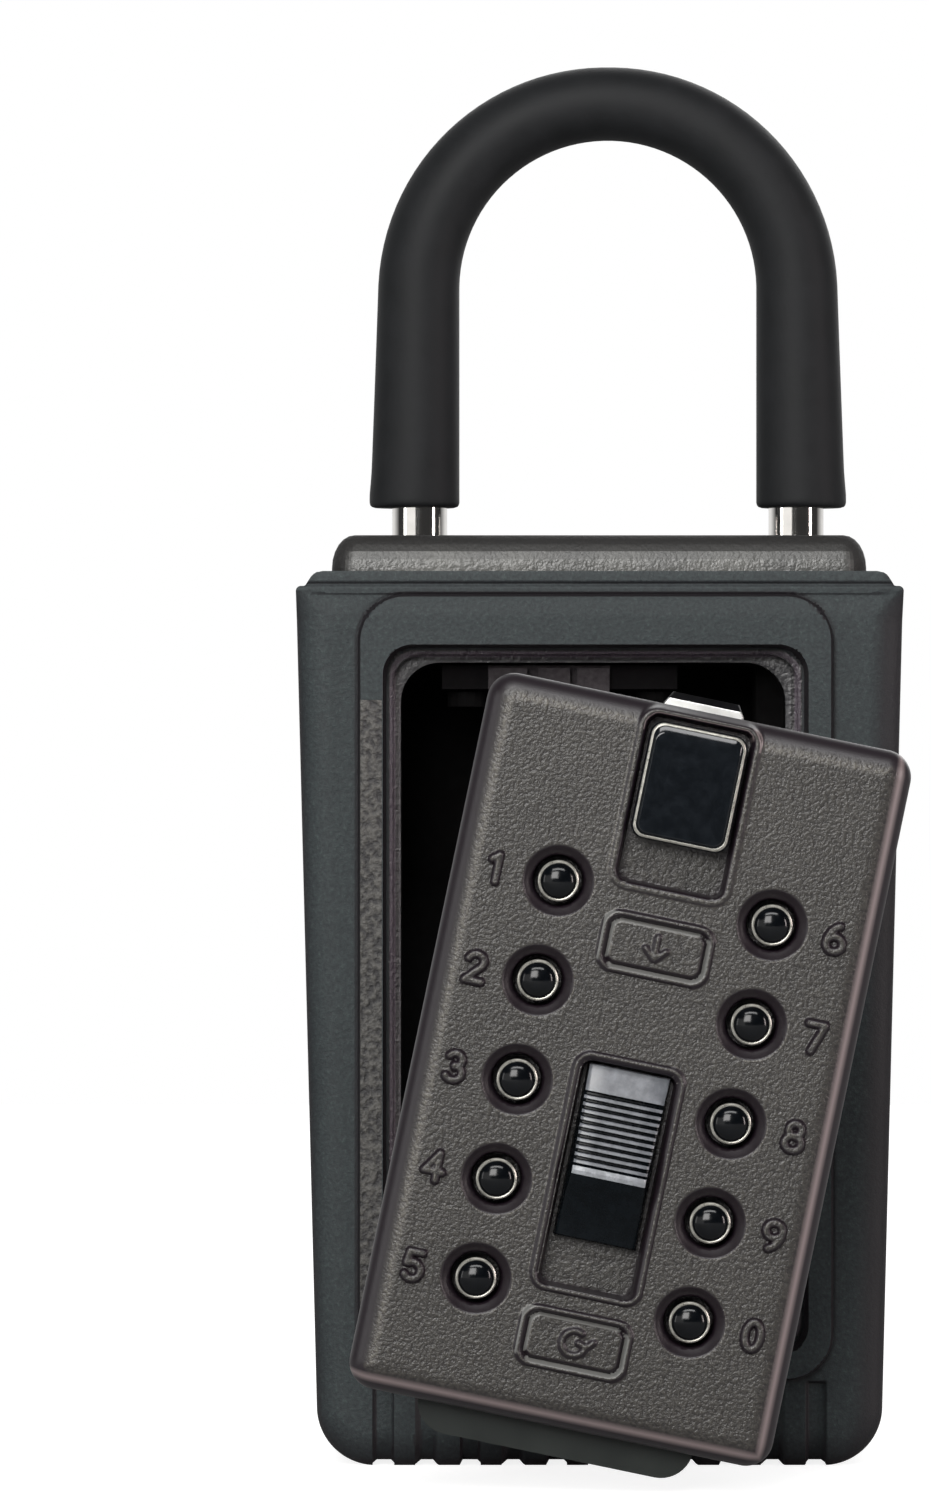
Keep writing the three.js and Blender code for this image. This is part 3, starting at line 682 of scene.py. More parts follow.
def jacket_rubber():
    """Blue-green grey moulded rubber with a fine grain and a coarse band, with painted shade on the front's
    rolls, on steep sides and in recesses.
    """
    look = Look("jacket_rubber", 0.62, specular=0.4)
    grain = look.noise(0.32, 3, 0.65)
    coarse = look.noise(0.6, 2, 0.5)
    cloud = look.noise(14, 3, 0.55)
    tone = look.ramp(cloud, [(0.3, (0.0115, 0.0178, 0.0200)), (0.72, (0.0175, 0.0242, 0.0265))])
    glints = [(0.34, (0.62, 0.64, 0.68)), (0.6, (1.2, 1.2, 1.17)), (0.72, (2.0, 1.95, 1.75))]
    speck = look.ramp(grain, glints)
    rubbed = look.mix(1.0, tone, speck, "MULTIPLY")
    # Painted shade: on the front, a dark purple goes into the colour where the surface leans right or down
    # or turns away, and into recesses through the hollows share.
    dark = (0.0075, 0.0055, 0.0078)
    to_right = look.leaning((1, 0, 0), (0.02, 0), (0.3, 0.75))
    to_foot = look.leaning((0, 0, -1), (0.02, 0), (0.3, 0.45))
    shade = look.maths("MAXIMUM", to_right, to_foot)
    rolls = look.mix(shade, look.mix(look.facing(0.4, 0.93), dark, rubbed), dark)
    front = look.inside(y=(-JACKET_MOST_Y, -JACKET_SIDE_Y))
    colour = look.mix(look.hollows(1.2), dark, look.mix(front, rubbed, rolls))
    look.bump(grain, 0.8, 0.09)
    band = look.inside(**COARSE_BAND)
    look.bump(look.mix(band, (0.5, 0.5, 0.5), coarse), 1.0, 0.6)
    knobbly = look.ramp(coarse, [(0.38, (0.026, 0.025, 0.026)), (0.6, (0.078, 0.075, 0.07))])
    return look.done(look.mix(band, colour, knobbly), look.scaled(cloud, 0.52, 0.68))


def case_paint():
    """Semi-gloss paint over a sand-cast skin, with painted shade on the top roll, and mauve and grey ledges
    with painted shade in near-black bands in the mouth of the recess.
    """
    look = Look("case_paint", 0.32, specular=0.6)
    look.soften(1.0)
    dimples = look.noise(0.4, 2, 0.5)
    fine = look.noise(0.2, 2, 0.5)
    cast = look.ramp(look.noise(6), [(0.3, (0.046, 0.047, 0.045)), (0.7, (0.085, 0.085, 0.078))])
    shell = frame["nodes"]["case_shell"].matrix_world.inverted()
    below_top = look.fall((shell @ Vector((0, 0, SHELL_HIGH.z))).z / MM, 0.8, 2.3)
    # Painted shade: the colour goes near black on the top roll and wherever the surface turns away from the
    # front.
    lit = look.maths("MINIMUM", look.facing(0.87, 0.998), below_top)
    colour = look.mix(lit, (0.004, 0.0035, 0.003), cast)
    middle = shell @ CASE @ (Vector((FRAME_X, 0, RECESS_Z)) * MM)
    depth = look.maths("MULTIPLY", look.ring_distance(middle, *RECESS_SIZE), -0.25)
    # Painted shade: near-black bands in the mouth of the recess, at its edge and on its step, between a
    # mauve ledge and a grey one that darkens further in.
    dark, mauve, black = (0.004, 0.003, 0.004), (0.05, 0.036, 0.05), (0.003, 0.002, 0.003)
    steps = [(0.0, dark), (0.17, dark), (0.2, mauve), (0.33, mauve), (0.37, black), (0.43, black)]
    steps += [(0.46, (0.05, 0.048, 0.052)), (0.55, (0.034, 0.033, 0.036)), (1.0, (0.02, 0.02, 0.022))]
    within = look.shares(depth, (0.0, 0), (0.001, 1))
    ledges_and_painted_shade = look.ramp(depth, steps)
    look.bump(dimples, 0.9, 0.12)
    look.bump(fine, 0.4, 0.03)
    shine = look.mix(lit, (0.7, 0.7, 0.7), look.scaled(dimples, 0.26, 0.4))
    return look.done(look.mix(within, colour, ledges_and_painted_shade), look.mix(within, shine, (0.34, 0.34, 0.34)))


def cavity_black():
    """Matte near-black with a little dust, used inside the case and on the guide screws."""
    look = Look("cavity_black", 0.85, specular=0.08)
    dust = look.noise(1.2, 4, 0.6)
    look.bump(look.noise(0.5, 2, 0.5), 0.3, 0.05)
    return look.done(look.ramp(dust, [(0.4, (0.0018, 0.0016, 0.0018)), (0.8, (0.004, 0.0038, 0.004))]))


def vinyl():
    """Matte black vinyl with a soft grain and faint cloudy wear."""
    look = Look("sleeve_vinyl", 0.6, specular=0.2)
    grain = look.noise(0.45)
    wear = look.noise(3.0)
    colour = look.ramp(wear, [(0.3, (0.0065, 0.0072, 0.008)), (0.75, (0.0105, 0.0112, 0.0125))])
    look.bump(grain, 0.35, 0.05)
    return look.done(colour, look.scaled(wear, 0.52, 0.68))


def polished(name, colour, roughness, scratch_stretch=(1, 1, 0.08)):
    """Bright metal with faint smudges and fine scratches, which scratch_stretch draws out."""
    look = Look(name, roughness, metallic=1.0)
    look.soften(0.15)
    scratches = look.noise(0.12, 2, 0.6, scratch_stretch)
    smudge = look.noise(4)
    dark = tuple(0.8 * c for c in colour)
    tone = look.ramp(smudge, [(0.3, dark), (0.7, colour)])
    look.bump(scratches, 0.12, 0.02)
    return look.done(tone, look.scaled(smudge, roughness * 0.7, roughness * 1.5))


def cast_metal(name, colour, roughness):
    """Bare casting: a matte mottled grey with fine pits."""
    look = Look(name, roughness, metallic=1.0)
    look.soften(0.2)
    pits = look.noise(0.4)
    dark = tuple(0.55 * c for c in colour)
    tone = look.ramp(look.noise(2.5, 4, 0.6), [(0.3, dark), (0.7, colour)])
    look.bump(pits, 0.35, 0.05)
    return look.done(tone, look.scaled(pits, roughness * 0.8, roughness * 1.3))


def guide_cast():
    """Zinc casting in its bare grey on the middle lands, and painted shade in near black elsewhere."""
    look = Look("guide_cast", 0.7, specular=0.08)
    grain = look.noise(0.5)
    bare = look.ramp(grain, [(0.3, (0.028, 0.024, 0.027)), (0.7, (0.05, 0.045, 0.048))])
    shifts = frame["nodes"]["guide_block"].matrix_world.inverted() @ CASE
    low, high = ((shifts @ (Vector((x, 0, 0)) * MM)).x / MM for x in GUIDE_LANDS)
    look.bump(grain, 0.4, 0.05)
    # Painted shade: everything but the middle lands is near black.
    tone = look.mix(look.inside(x=(low, high)), (0.002, 0.0015, 0.002), bare)
    return look.done(tone, look.scaled(grain, 0.6, 0.8))


def gloss_black(name, colour, roughness, specular=0.5):
    """Moulded glossy black plastic with a faint ripple, fine dust and handling marks."""
    look = Look(name, roughness, specular=specular)
    ripple = look.noise(2.5, 2, 0.5)
    marks = look.noise(0.9, 4, 0.65)
    lighter = tuple(1.7 * c for c in colour)
    tone = look.ramp(marks, [(0.4, colour), (0.75, lighter)])
    look.bump(ripple, 0.12, 0.05)
    look.bump(look.noise(0.18, 2, 0.5), 0.05, 0.01)
    return look.done(tone, look.scaled(marks, roughness * 0.6, roughness * 2.0))


def ring_light():
    """Pale edge of a button or knob, which on the knob's rim is a painted highlight."""
    look = Look("pale_edge", 0.3, metallic=0.6)
    wear = look.noise(0.5)
    tone = look.ramp(wear, [(0.3, (0.22, 0.215, 0.19)), (0.7, (0.42, 0.41, 0.37))])
    return look.done(tone, look.scaled(wear, 0.2, 0.4))


def dark_plate():
    """Smooth dark green-black coated sheet, with a painted highlight in paler grey-green on its edges."""
    look = Look("dark_plate", 0.42, specular=0.35)
    cloud = look.noise(5, 3, 0.55)
    tone = look.ramp(cloud, [(0.3, (0.008, 0.011, 0.010)), (0.7, (0.014, 0.018, 0.016))])
    look.bump(look.noise(0.3, 2, 0.5), 0.12, 0.02)
    # Painted highlight: surfaces that turn away from the front and back get a paler grey-green.
    edges_painted_light = look.mix(look.flatness(0.6, 0.99), (0.10, 0.115, 0.11), tone)
    return look.done(edges_painted_light, look.scaled(cloud, 0.3, 0.42))


def nylon():
    """Moulded dark nylon with a spark-eroded grain."""
    look = Look("nylon", 0.55, specular=0.4)
    look.soften(0.25)
    grain = look.noise(0.25)
    tone = look.ramp(look.noise(8, 3, 0.5), [(0.3, (0.024, 0.025, 0.026)), (0.7, (0.04, 0.041, 0.042))])
    look.bump(grain, 0.35, 0.04)
    return look.done(tone, look.scaled(grain, 0.45, 0.65))


def stage_white():
    """Pale board, lit up to white for the camera without lighting the object."""
    look = Look("stage_white", 0.9, specular=0.1)
    seen = look.node("ShaderNodeLightPath").outputs["Is Camera Ray"]
    look.shader.inputs["Emission Color"].default_value = (1, 1, 1, 1)
    look.link(look.scaled(seen, 0.0, 0.85), look.shader.inputs["Emission Strength"])
    return look.done((0.42, 0.42, 0.42))


# ---------- case ----------


def jacket_height(x, z):
    """Front of the jacket: rolled sides, ribs at its foot, raised frame and the mouth of the recess."""
    side = jacket_outline(x, z)
    raised = frame_edge(x, z)
    frame_low = ends(FRAME_Z, FRAME_SIZE[1])[0]
    height = PLATE_FRONT - rolled(side, ROLL[0], ROLL[1]) * np.clip((JACKET_TOP - z) / 4, 0.12, 1)
    height = height - 0.3 * np.clip(1 - np.abs(z - JACKET_TOP - 0.2) / 0.3, 0, 1)
    height = height - RIB_DEPTH * rib_grooves(x) * step(z - frame_low, 0.4)
    height = height - 0.13 * np.clip(1 - np.abs(raised - 0.08) / 0.16, 0, 1)
    height = height + (FRAME_FRONT - PLATE_FRONT) * np.sqrt(step(raised, FRAME_RISE))
    return height - (FRAME_FRONT - RECESS_FLOOR) * step(recess_edge(x, z), RECESS_FALL)


def make_jacket():
    """Rubber jacket, open at the mouth of the recess."""
    bm = bmesh.new()
    half = JACKET_HALF_TOP + 0.6
    uprights = (-34, 34, *ends(FRAME_X, FRAME_SIZE[0]), *ends(FRAME_X, RECESS_SIZE[0]))
    xs = lines(-half, half, 0.34, [(at, 0.9, 0.15) for at in uprights])
    recess_low, recess_high = ends(RECESS_Z, RECESS_SIZE[1])
    frame_low, frame_high = ends(FRAME_Z, FRAME_SIZE[1])
    fine_z = [(at, 0.9, 0.15) for at in (0.6, frame_low, recess_low, recess_high, frame_high, 101)]
    fine_z += [(at, 3.6, 0.3) for at in (frame_low + 2, recess_low + 1, recess_high - 1, frame_high - 2)]
    zs = lines(-0.6, PLATE_TOP + 0.6, 0.5, fine_z)

    snaps = [
        (frame_edge, 0.12),
        (lambda x, z: frame_edge(x, z) + FRAME_RISE, 0.12),
        (recess_edge, 0.12),
        (lambda x, z: recess_edge(x, z) + RECESS_FALL, 0.12),
    ]
    back_rows = [(-30.0, 0.0), (-15.0, 0.0), (-0.35, 0.0), (0.0, 0.2)]
    relief(bm, xs, zs, jacket_outline, jacket_height, snaps, back_rows)

    def hollow(face):
        centre = face.calc_center_median() / MM
        return recess_edge(centre.x, centre.z) < -0.6 and centre.y < -RECESS_FLOOR + 0.4

    bmesh.ops.delete(bm, geom=[face for face in bm.faces if hollow(face)], context="FACES")
    made = object_from("jacket", bm, CASE, "case", "rubber_jacket")
    dress(made, "rubber", 50, jacket_rubber())


class Bow:
    """The shackle's centre line, in mm: up the left leg from foot_z, over, and down the right leg."""

    def __init__(self, foot_z, sides):
        self.left = ROD_LOW.x / MM + ROD_R
        self.right = ROD_HIGH.x / MM - ROD_R
        self.radius = (self.right - self.left) / 2
        self.spring_z = ROD_HIGH.z / MM - ROD_R - self.radius
        self.y = (ROD_LOW.y + ROD_HIGH.y) / 2 / MM
        self.up = self.spring_z - foot_z
        self.end = self.up + math.pi * self.radius
        self.angles = [2 * math.pi * k / sides for k in range(sides)]

    def point(self, s):
        """Place and outward direction, s mm along the line."""
        if s <= self.up:
            return Vector((self.left, 0, self.spring_z - self.up + s)), Vector((-1, 0, 0))
        if s >= self.end:
            return Vector((self.right, 0, self.spring_z - (s - self.end))), Vector((1, 0, 0))
        a = math.pi - (s - self.up) / self.radius
        out = Vector((math.cos(a), 0, math.sin(a)))
        return Vector(((self.left + self.right) / 2, 0, self.spring_z)) + self.radius * out, out

    def ring(self, s, across, deep, shift=0.0):
        """Points round an oval section, s mm along the line, in metres."""
        place, out = self.point(s)
        points = []
        for a in self.angles:
            sideways = Vector((0, self.y + deep * math.sin(a), 0))
            points.append((place + out * (shift + across * math.cos(a)) + sideways) * MM)
        return points


def make_shackle():
    """Chrome bow with a notch in its short leg and a neck in its long one."""
    base = JACKET_LOW.z / MM
    bow = Bow(base + SHORT_LEG_FOOT, 40)
    total = bow.end + (bow.spring_z - ROD_LOW.z / MM)
    cuts = list(np.linspace(0, bow.up, 12)) + list(np.linspace(bow.up, bow.end, 64))[1:]
    cuts += list(np.linspace(bow.end, total, 46))[1:]
    cuts = sorted(cuts + [0.5, 1.0, 2.3, 2.35, 6.05, 6.1, total - 0.5, total - 1.0])
    loops = []
    for s in cuts:
        r = ROD_R - max(ROD_CHAMFER - min(s, total - s), 0)
        if s > bow.end and base + NECK[0] < bow.point(s)[0].z < base + NECK[1]:
            r = NECK_R
        ring = bow.ring(s, r, r)
        if NOTCH[0] < s < NOTCH[1]:
            for p in ring:
                p.x = min(p.x, (bow.left + NOTCH_FLOOR) * MM)
        loops.append(ring)
    bm = bmesh.new()
    loft(bm, loops)
    made = object_from("shackle_bow", bm, Matrix.Identity(4), "shackle", "shackle")
    dress(made, "chrome", 40, polished("shackle_chrome", (0.82, 0.8, 0.77), 0.07))


def make_sleeve():
    """Vinyl tube, thinner over the top of the bow and thicker at its feet, on the outer side."""
    bow = Bow(SLEEVE_LOW.z / MM, 44)
    total = bow.end + bow.up
    bore = ROD_R + SLEEVE_BORE

    def outer_r(s):
        share = min(s, total - s) / (total / 2)
        level = min(s, total - s) / bow.up
        spread = SLEEVE_TOP_R + (SLEEVE_FOOT_R - SLEEVE_TOP_R) * max(0.0, 1 - share) ** 1.25
        return spread + 0.12 * math.exp(-((level - 0.06) ** 2) / 0.004)

    edge = [0, 0.12, 0.3, 0.6, 1.0]
    cuts = edge + list(np.linspace(1.6, total - 1.6, 92)) + [total - s for s in reversed(edge)]
    loops = [bow.ring(s, bore, bore) for s in (3.0, 0.3, 0.0)]
    for s in cuts:
        short = SLEEVE_EDGE - min(s, total - s, SLEEVE_EDGE)
        fall = SLEEVE_EDGE - math.sqrt(SLEEVE_EDGE**2 - short**2)
        across = (outer_r(s) + SLEEVE_INNER_R) / 2 - fall
        shift = (outer_r(s) - SLEEVE_INNER_R) / 2
        loops.append(bow.ring(s, across, SLEEVE_INNER_R - fall, shift))
    loops += [bow.ring(s, bore, bore) for s in (total, total - 0.3, total - 3.0)]
    bm = bmesh.new()
    loft(bm, loops, close=False)
    made = object_from("sleeve", bm, Matrix.Identity(4), "shackle", "shackle_sleeve")
    dress(made, "vinyl", 60, vinyl())


# ---------- lid ----------


def digits_relief(x, z):
    """Raised digits beside the buttons."""
    height = np.zeros(x.shape)
    for digit, bx, bz in KEYPAD:
        cx = math.copysign(DIGIT_X, bx)
        near = (np.abs(x - cx) < DIGIT_REACH) & (np.abs(z - bz) < DIGIT_REACH)
        strokes = digit_strokes(digit)
        strokes = [[(px * DIGIT_WIDE, pz * DIGIT_HEIGHT) for px, pz in stroke] for stroke in strokes]
        d = strokes_distance(x[near] - cx, z[near] - bz, strokes)
        height[near] = np.maximum(height[near], ridge(d, STROKE))
    return height


def signs_relief(x, z):
    """Raised signs in the two label plates."""
    height = np.zeros(x.shape)
    for kind, cz in zip(("open", "clear"), LABEL_Z):
        near = (np.abs(x) < SIGN_REACH[0]) & (np.abs(z - cz) < SIGN_REACH[1])
        height[near] = ridge(strokes_distance(x[near], z[near] - cz, sign_strokes(kind)), SIGN_STROKE)
    return height


def lid_height(x, z):
    """Front of the lid: rolled edge, pockets, slots, labels, button wells, digits and signs."""
    outline = lid_edge(x, z)
    height = LID_THICK - rolled(outline, *LID_EDGE)
    latch = centred_box(x, z, LATCH_POCKET)
    rim = centred_box(x, z, LATCH_RIM)
    rim_top = LID_THICK + 0.05 - rolled(outline, 1.0, 0.8)
    height = np.maximum(height, height + (rim_top - height) * step(rim, 0.7) * (z > LATCH_POCKET[3] - 2))
    height = height + 0.16 * bead(latch - 0.45, 0.4)
    height = height - (height - POCKET_FLOOR) * step(latch, POCKET_WALL)
    height = height + 0.36 * bead(centred_box(x, z, CLEAR_RIM) + RIM_INSET, RIM_HALF)
    height = height - (height - POCKET_FLOOR) * step(centred_box(x, z, CLEAR_POCKET), POCKET_WALL)
    for size in (LATCH_SLOT, CLEAR_SLOT):
        height = height - (height - SLOT_FLOOR) * step(centred_box(x, z, size), 0.3)
    for cz in LABEL_Z:
        height = height + 0.42 * bead(rounded_box(x, z, *LABEL_RIM, 0, cz) + RIM_INSET, RIM_HALF)
        pad = rounded_box(x, z, *LABEL, 0, cz)
        height = height - 0.4 * np.clip(1 - np.abs(pad - 0.05) / 0.3, 0, 1)
        height = height + 0.12 * step(pad, 0.3)
    for _, bx, bz in KEYPAD:
        well = circle(x, z, WELL_R, bx, bz)
        dish = np.clip((DISH_R - WELL_R - well) / (DISH_R - WELL_R), 0, 1)
        height = height - DISH_DEPTH * dish**0.8
        height = height - (height - WELL_FLOOR) * step(well, WELL_WALL)
    return height + DIGIT_RISE * digits_relief(x, z) + SIGN_RISE * signs_relief(x, z)


def make_lid():
    """Lid cover with its relief, on a grid that is finer round the edges, digits and wells."""
    bm = bmesh.new()
    half_w, half_h = LID_SIZE[0] / 2, LID_SIZE[1] / 2
    rim_x = [(at, 1.0, 0.11) for at in (-half_w, half_w)]
    rim_z = [(at, 1.0, 0.11) for at in (-half_h, half_h)]
    rim_x += [(at, 1.4, 0.12) for at in (-DIGIT_X, DIGIT_X)]
    rim_z += [(ROW_TOP - i * ROW_PITCH, 2.0, 0.13) for i in range(ROWS)]
    xs = lines(-half_w - 0.25, half_w + 0.25, 0.19, rim_x)
    zs = lines(-half_h - 0.25, half_h + 0.25, 0.19, rim_z)

    snaps = []
    for size in (LATCH_POCKET, CLEAR_POCKET):
        for inset in (0.0, POCKET_WALL):
            snaps.append((lambda x, z, size=size, inset=inset: centred_box(x, z, size) + inset, 0.1))
    for _, bx, bz in KEYPAD:
        for radius in (WELL_R, WELL_R - WELL_WALL):
            snaps.append((lambda x, z, r=radius, u=bx, v=bz: circle(x, z, r, u, v), 0.1))
    back_rows = [(-1.2, 0.0), (-0.4, 0.1), (0.0, 0.5)]
    relief(bm, xs, zs, lid_edge, lid_height, snaps, back_rows)
    made = object_from("lid_front", bm, LID, "lid", "lid_cover")
    dress(made, "lid_paint", 55, lid_paint())


def make_buttons():
    """Domed glossy buttons with a pale ring round the dome."""
    black = gloss_black("button_black", (0.0015, 0.002, 0.0028), 0.11, 0.26)
    ring = ring_light()
    profile = [(0.0, -2.2, 0), (2.2, -2.2, 0), (2.28, -2.35, 0), (2.28, -4.45, 0), (2.22, -4.62, 1)]
    profile += [(2.1, -4.7, 1), (1.98, -4.68, 1)]
    dome_r, rise, base = DOME
    for k in range(1, 10):
        a = math.pi / 2 * k / 9
        profile.append((dome_r * math.cos(a), -(base + rise * math.sin(a)), 0))
    for digit, x, z in KEYPAD:
        bm = bmesh.new()
        lathe_y(bm, profile)
        matrix = LID @ Matrix.Translation(Vector((x, 0, z)) * MM)
        made = object_from(f"push_{digit}", bm, matrix, f"button_{digit}", f"button_{digit}")
        dress(made, "button_black", 30, black, ring)


def make_knob():
    """Glossy rounded-square knob, slightly crowned, with a painted highlight in pale material round its
    rim.
    """
    width, tall, corner, cz = KNOB
    rows = [(0.0, -2.6), (0.0, -5.45), (0.05, -5.7), (0.16, -5.88), (0.34, -6.0), (0.44, -6.0)]
    rows += [(0.5, -5.96), (0.6, -6.01), (0.85, -6.11), (1.15, -6.23)]
    rows += [(inset, -6.25) for inset in (1.25, 1.4, 1.6, 1.8)]
    loops = []
    for inset, y in rows:
        narrow = min(inset, 0.5) + 0.3 * max(inset - 0.5, 0)
        size = (width - 2 * narrow, tall - inset - narrow, corner - 0.6 * narrow)
        loops.append(rounded_loop(*size, y, cz - (inset - narrow) / 2))
    bm = bmesh.new()
    rings = loft(bm, loops)
    # Painted highlight: the faces of the rim rows take the pale edge material.
    edge_verts = {v for ring in rings[3:6] for v in ring}
    for face in bm.faces:
        if all(v in edge_verts for v in face.verts):
            face.material_index = 1
    made = object_from("knob", bm, LID, "latch", "open_knob")
    black = gloss_black("knob_black", (0.004, 0.0052, 0.0068), 0.09, 0.36)
    dress(made, "gloss_black", 40, black, ring_light())


def make_bolt():
    """Latch strip with its bevelled bolt, which stands above the lid's top edge."""

    def section(z, half, bevel, tilt):
        front, back = 0.3 + tilt, 1.5
        outline = [(-half, back - bevel), (-half + bevel, back), (half - bevel, back), (half, back - bevel)]
        outline += [(half, front + bevel), (half - bevel, front)]
        outline += [(-half + bevel, front), (-half, front + bevel)]
        return [Vector((x, y, z)) * MM for x, y in outline]

    rows = [(17.6, 4.3, 0.1, 0), (17.8, 4.45, 0.12, 0), (38.5, 4.45, 0.12, 0), (40.1, 4.45, 0.14, 0)]
    rows += [(40.45, 4.25, 0.16, 0), (40.7, 4.1, 0.16, 0), (41.0, 3.95, 0.16, 0.3), (41.45, 3.7, 0.2, 0.7)]
    bm = bmesh.new()
    loft(bm, [section(*row) for row in rows])
    # Painted dark reflection: the bevelled top of the bolt takes a near-black copy of the bolt's metal.
    for face in bm.faces:
        if face.calc_center_median().z > 40.6 * MM:
            face.material_index = 1
    made = object_from("bolt", bm, LID, "latch", "latch_plate")
    bright = polished("bolt_metal", (0.86, 0.86, 0.84), 0.28)
    dress(made, "bolt_metal", 30, bright, polished("bolt_bevel_painted_reflection", (0.03, 0.03, 0.033), 0.35))


def slide_profile():
    """(z, y, painted_light_tone) down the thumb slide's face: plain top, ten ridges, crest and lower face,
    in tones of painted light on one plastic.
    """
    # Painted light: grey is the lit top and ridge tops, bright is a painted highlight on the crest and the
    # lower end, and black is painted shade in the grooves and below the crest.
    black, grey, bright = 0, 1, 2
    top = [(-0.1, -3.6), (-0.22, -3.95), (-0.5, -4.08), (-1.6, -4.25), (-3.1, -4.5)]
    points = [(z, y, grey) for z, y in top]
    ridge_rows = [(0.0, 0.5, black), (0.26, 0.5, black), (0.4, 0.06, grey), (0.52, 0.0, grey)]
    ridge_rows.append((0.86, 0.03, grey))
    ridges, start, end = 10, -3.3, -11.1
    for i in range(ridges):
        for share, dip, painted_light_tone in ridge_rows:
            t = (i + share) / ridges
            points.append((start + (end - start) * t, -4.55 - 2.0 * t + dip, painted_light_tone))
    crest = [(-11.3, -6.53), (-11.75, -6.68), (-12.2, -6.55)]
    points += [(-11.15, -6.3, black)] + [(z, y, bright) for z, y in crest] + [(-12.3, -6.5, black)]
    for k in range(1, 9):
        t = k / 8
        points.append((-12.3 - 6.8 * t, -6.5 + 2.3 * t + 0.35 * math.sin(math.pi * t), black))
    return points + [(-19.22, -3.95, bright), (-19.3, -3.6, black)]


def make_thumb_slide():
    """Thumb slide: its profile swept across, with drafted sides and softened corners."""
    floor = -2.6
    base_half = 4.65
    draft = 0.14
    bm = bmesh.new()
    across = [-1.0, -0.965, -0.9, -0.5, 0.0, 0.5, 0.9, 0.965, 1.0]
    columns = []
    for z, y, painted_light_tone in slide_profile():
        half = base_half - draft * (floor - y)
        line = [bm.verts.new(Vector((-base_half, floor, z)) * MM)]
        for share in across:
            drop = 0.22 * max(0.0, (abs(share) - 0.9) / 0.1) ** 2
            line.append(bm.verts.new(Vector((half * share, y + drop, z)) * MM))
        line.append(bm.verts.new(Vector((base_half, floor, z)) * MM))
        columns.append((painted_light_tone, line))
    for (first, one), (second, two) in zip(columns, columns[1:]):
        for k in range(len(one) - 1):
            face = bm.faces.new((one[k], one[k + 1], two[k + 1], two[k]))
            on_top = 1 <= k < len(one) - 2
            face.material_index = min(first, second) if on_top else 0
    bm.faces.new(columns[0][1])
    bm.faces.new(columns[-1][1][::-1])
    bmesh.ops.recalc_face_normals(bm, faces=bm.faces[:])
    made = object_from("thumb_slide", bm, LID, "clear", "clear_slide")
    # Lit and shaded copies of one glossy plastic: black for painted shade, grey for painted light, paler
    # grey for the painted highlight.
    black = gloss_black("slide_black", (0.002, 0.003, 0.004), 0.2, 0.12)
    ridges = gloss_black("slide_ridges_painted_light", (0.1, 0.106, 0.118), 0.26)
    crest = gloss_black("slide_crest_painted_highlight", (0.2, 0.21, 0.225), 0.2)
    dress(made, "gloss_black_slide", 28, black, ridges, crest)


# ---------- finishes of the CAD nodes that stay ----------


def soften_edges(node, radius_mm):
    modifier = node.modifiers.new("rounded edges", "BEVEL")
    modifier.width = radius_mm * MM
    modifier.segments = 3
    modifier.limit_method = "ANGLE"
    modifier.angle_limit = math.radians(40)


def darken_cavity(shell):
    """Gives the faces behind the shell's front ledge their own near-black material."""
    shell.data.materials.append(cavity_black())
    behind = SHELL_LOW.y + 2.0 * MM
    middle = CASE @ (Vector((FRAME_X, 0, RECESS_Z)) * MM)
    for face in shell.data.polygons:
        centre = shell.matrix_world @ face.center
        across = abs(centre.x - middle.x) < RECESS_SIZE[0] / 2 * MM
        within = across and abs(centre.z - middle.z) < RECESS_SIZE[1] / 2 * MM
        if within and behind < centre.y < SHELL_HIGH.y - 1.0 * MM:
            face.material_index = 1


def finish_nodes():
    steel = polished("plated_steel", (0.55, 0.56, 0.58), 0.25)
    looks = {
        "case_shell": case_paint(),
        "guide_block": guide_cast(),
        "release_slide": cast_metal("zinc_slide", (0.1, 0.097, 0.095), 0.45),
        "stop_pin": steel,
        "guide_screw_1": cavity_black(),
        "guide_screw_2": cavity_black(),
        "back_plate": dark_plate(),
        "mechanism_cover": nylon(),
        "clear_plate": steel,
    }
    brass = polished("stud_brass", (0.62, 0.44, 0.17), 0.25, (1, 1, 1))
    wire = polished("spring_wire", (0.6, 0.6, 0.62), 0.22, (1, 1, 1))
    for name, node in frame["nodes"].items():
        if node.hide_render:
            continue
        look = looks.get(name)
        if name.startswith("code_stud"):
            look = brass
        if "spring" in name:
            look = wire
        if name.startswith("cover_screw"):
            look = steel
        if look is None:
            continue
        node.data.materials.clear()
        node.data.materials.append(look)
        if name == "case_shell":
            darken_cavity(node)
        node.data.polygons.foreach_set("use_smooth", [True] * len(node.data.polygons))
        if name == "back_plate":
            soften_edges(node, 0.3)
        if name == "case_shell":
            node.modifiers.new("even shading", "WEIGHTED_NORMAL")
        else:
            edge_split(node, 34)


# ---------- stage, light and camera ----------

CAMERA_DISTANCE = 900.0
CAMERA_X = -15.3
CAMERA_Z = 81.6
PICTURE_HEIGHT = 170.4545
SENSOR = 36


def make_stage():
    """A plain pale floor."""
    mesh = bpy.data.meshes.new("floor")
    half = 0.9
    corners = [(-half, -half, 0), (half, -half, 0), (half, half, 0), (-half, half, 0)]
    mesh.from_pydata(corners, [], [(0, 1, 2, 3)])
    floor = add_object("floor", mesh)
    floor.location = (0, 0, JACKET_LOW.z)
    mesh.materials.append(stage_white())


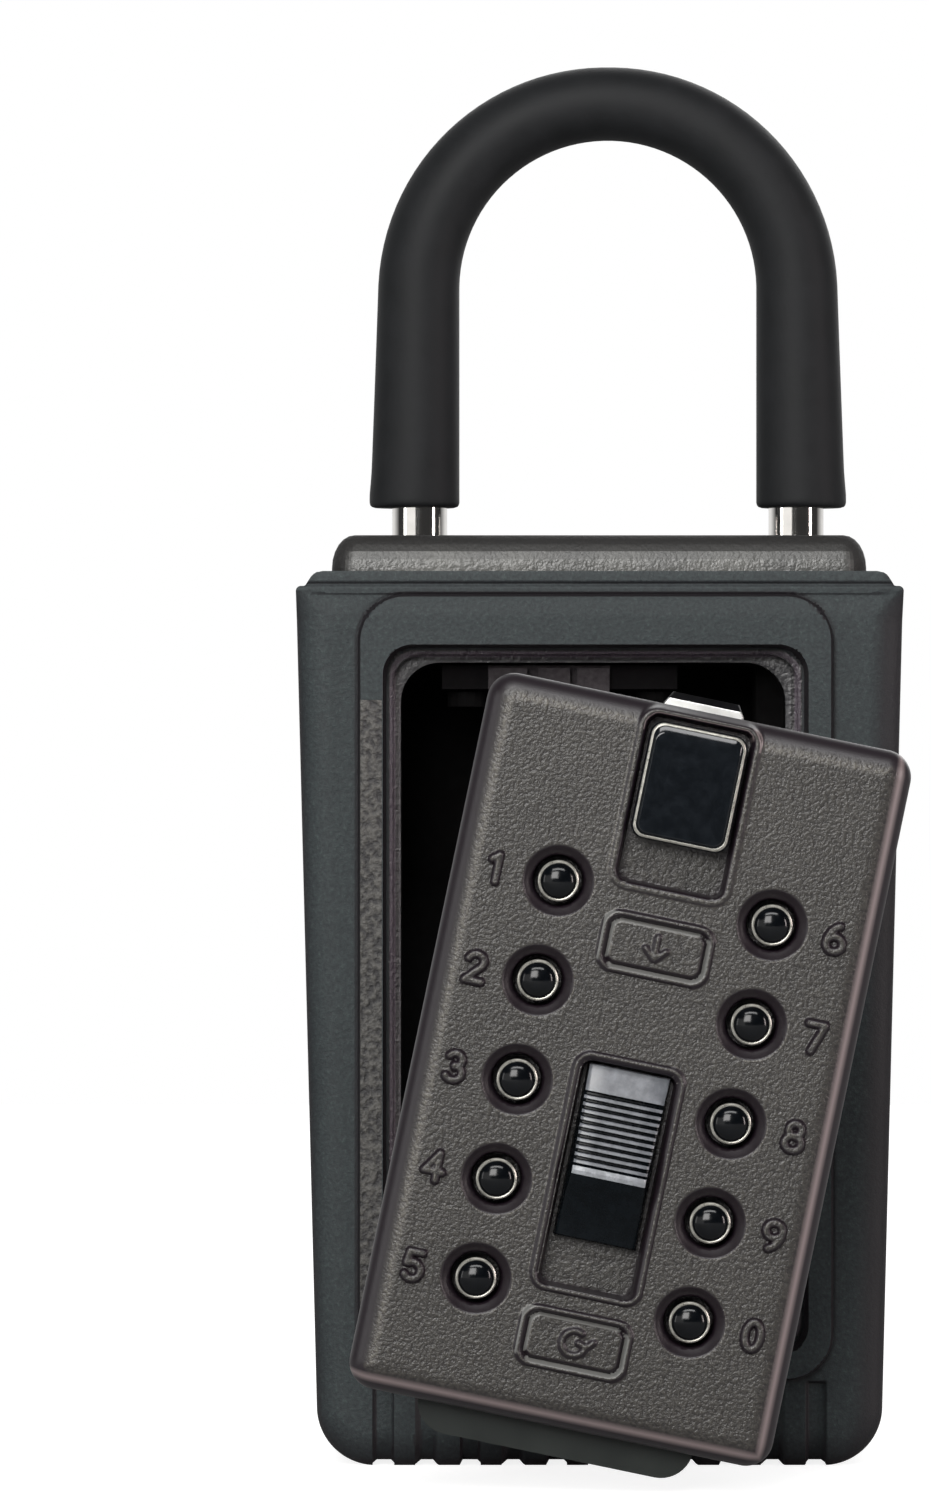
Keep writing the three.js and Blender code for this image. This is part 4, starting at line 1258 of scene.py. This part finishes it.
def area_light(name, place, size, power, colour=(1, 1, 1)):
    """A rectangular light (in metres and watts) turned to the middle of the case's front."""
    data = bpy.data.lights.new(name, "AREA")
    data.shape = "RECTANGLE"
    data.size, data.size_y = size
    data.energy = power
    data.color = colour
    made = add_object(name, data)
    made.location = place
    middle = Vector((0, JACKET_LOW.y, (JACKET_LOW.z + JACKET_HIGH.z) / 2))
    made.rotation_euler = (middle - Vector(place)).to_track_quat("-Z", "Y").to_euler()


def make_light():
    """Six soft lights, and a pale world that is brightest behind the case."""
    area_light("key", (-0.22, -1.0, 0.28), (0.42, 0.46), 8.0, (1, 0.99, 0.97))
    area_light("card", (-0.66, -0.74, 0.0), (0.85, 0.5), 1.5, (1, 0.99, 0.97))
    area_light("overhead", (0.0, -0.8, 0.72), (0.9, 0.2), 6.5)
    area_light("behind", (0.3, 1.25, 0.55), (1.4, 1.0), 9)
    area_light("left", (-0.85, -0.4, -0.02), (0.16, 0.6), 1.0)
    area_light("right", (0.8, -0.45, 0.0), (0.12, 0.5), 3.2, (1, 0.88, 0.87))
    world = bpy.data.worlds.new("soft white")
    world.use_nodes = True
    tree = world.node_tree
    background = tree.nodes["Background"]
    background.inputs["Color"].default_value = (1, 1, 1, 1)
    towards = tree.nodes.new("ShaderNodeSeparateXYZ")
    tree.links.new(tree.nodes.new("ShaderNodeTexCoord").outputs["Generated"], towards.inputs[0])
    behind = map_range(tree, towards.outputs["Y"], 0.04, 0.9, 0.1, 0.7)
    seen = tree.nodes.new("ShaderNodeLightPath").outputs["Is Camera Ray"]
    strength = map_range(tree, seen, 0.0, 1.0)
    tree.links.new(behind.outputs["Result"], strength.inputs["To Min"])
    tree.links.new(strength.outputs["Result"], background.inputs["Strength"])
    bpy.context.scene.world = world


def make_camera():
    data = bpy.data.cameras.new("camera")
    data.sensor_width = SENSOR
    data.lens = SENSOR * CAMERA_DISTANCE / PICTURE_HEIGHT
    camera = add_object("camera", data)
    camera.location = CASE @ (Vector((CAMERA_X, -FRAME_FRONT - CAMERA_DISTANCE, CAMERA_Z)) * MM)
    camera.rotation_euler = (math.pi / 2, 0, 0)
    data.clip_start, data.clip_end = 0.05, 20
    bpy.context.scene.camera = camera


make_jacket()
make_shackle()
make_sleeve()
make_lid()
make_buttons()
make_knob()
make_bolt()
make_thumb_slide()
finish_nodes()
make_stage()
make_light()
make_camera()
bpy.context.scene.view_settings.view_transform = "Standard"
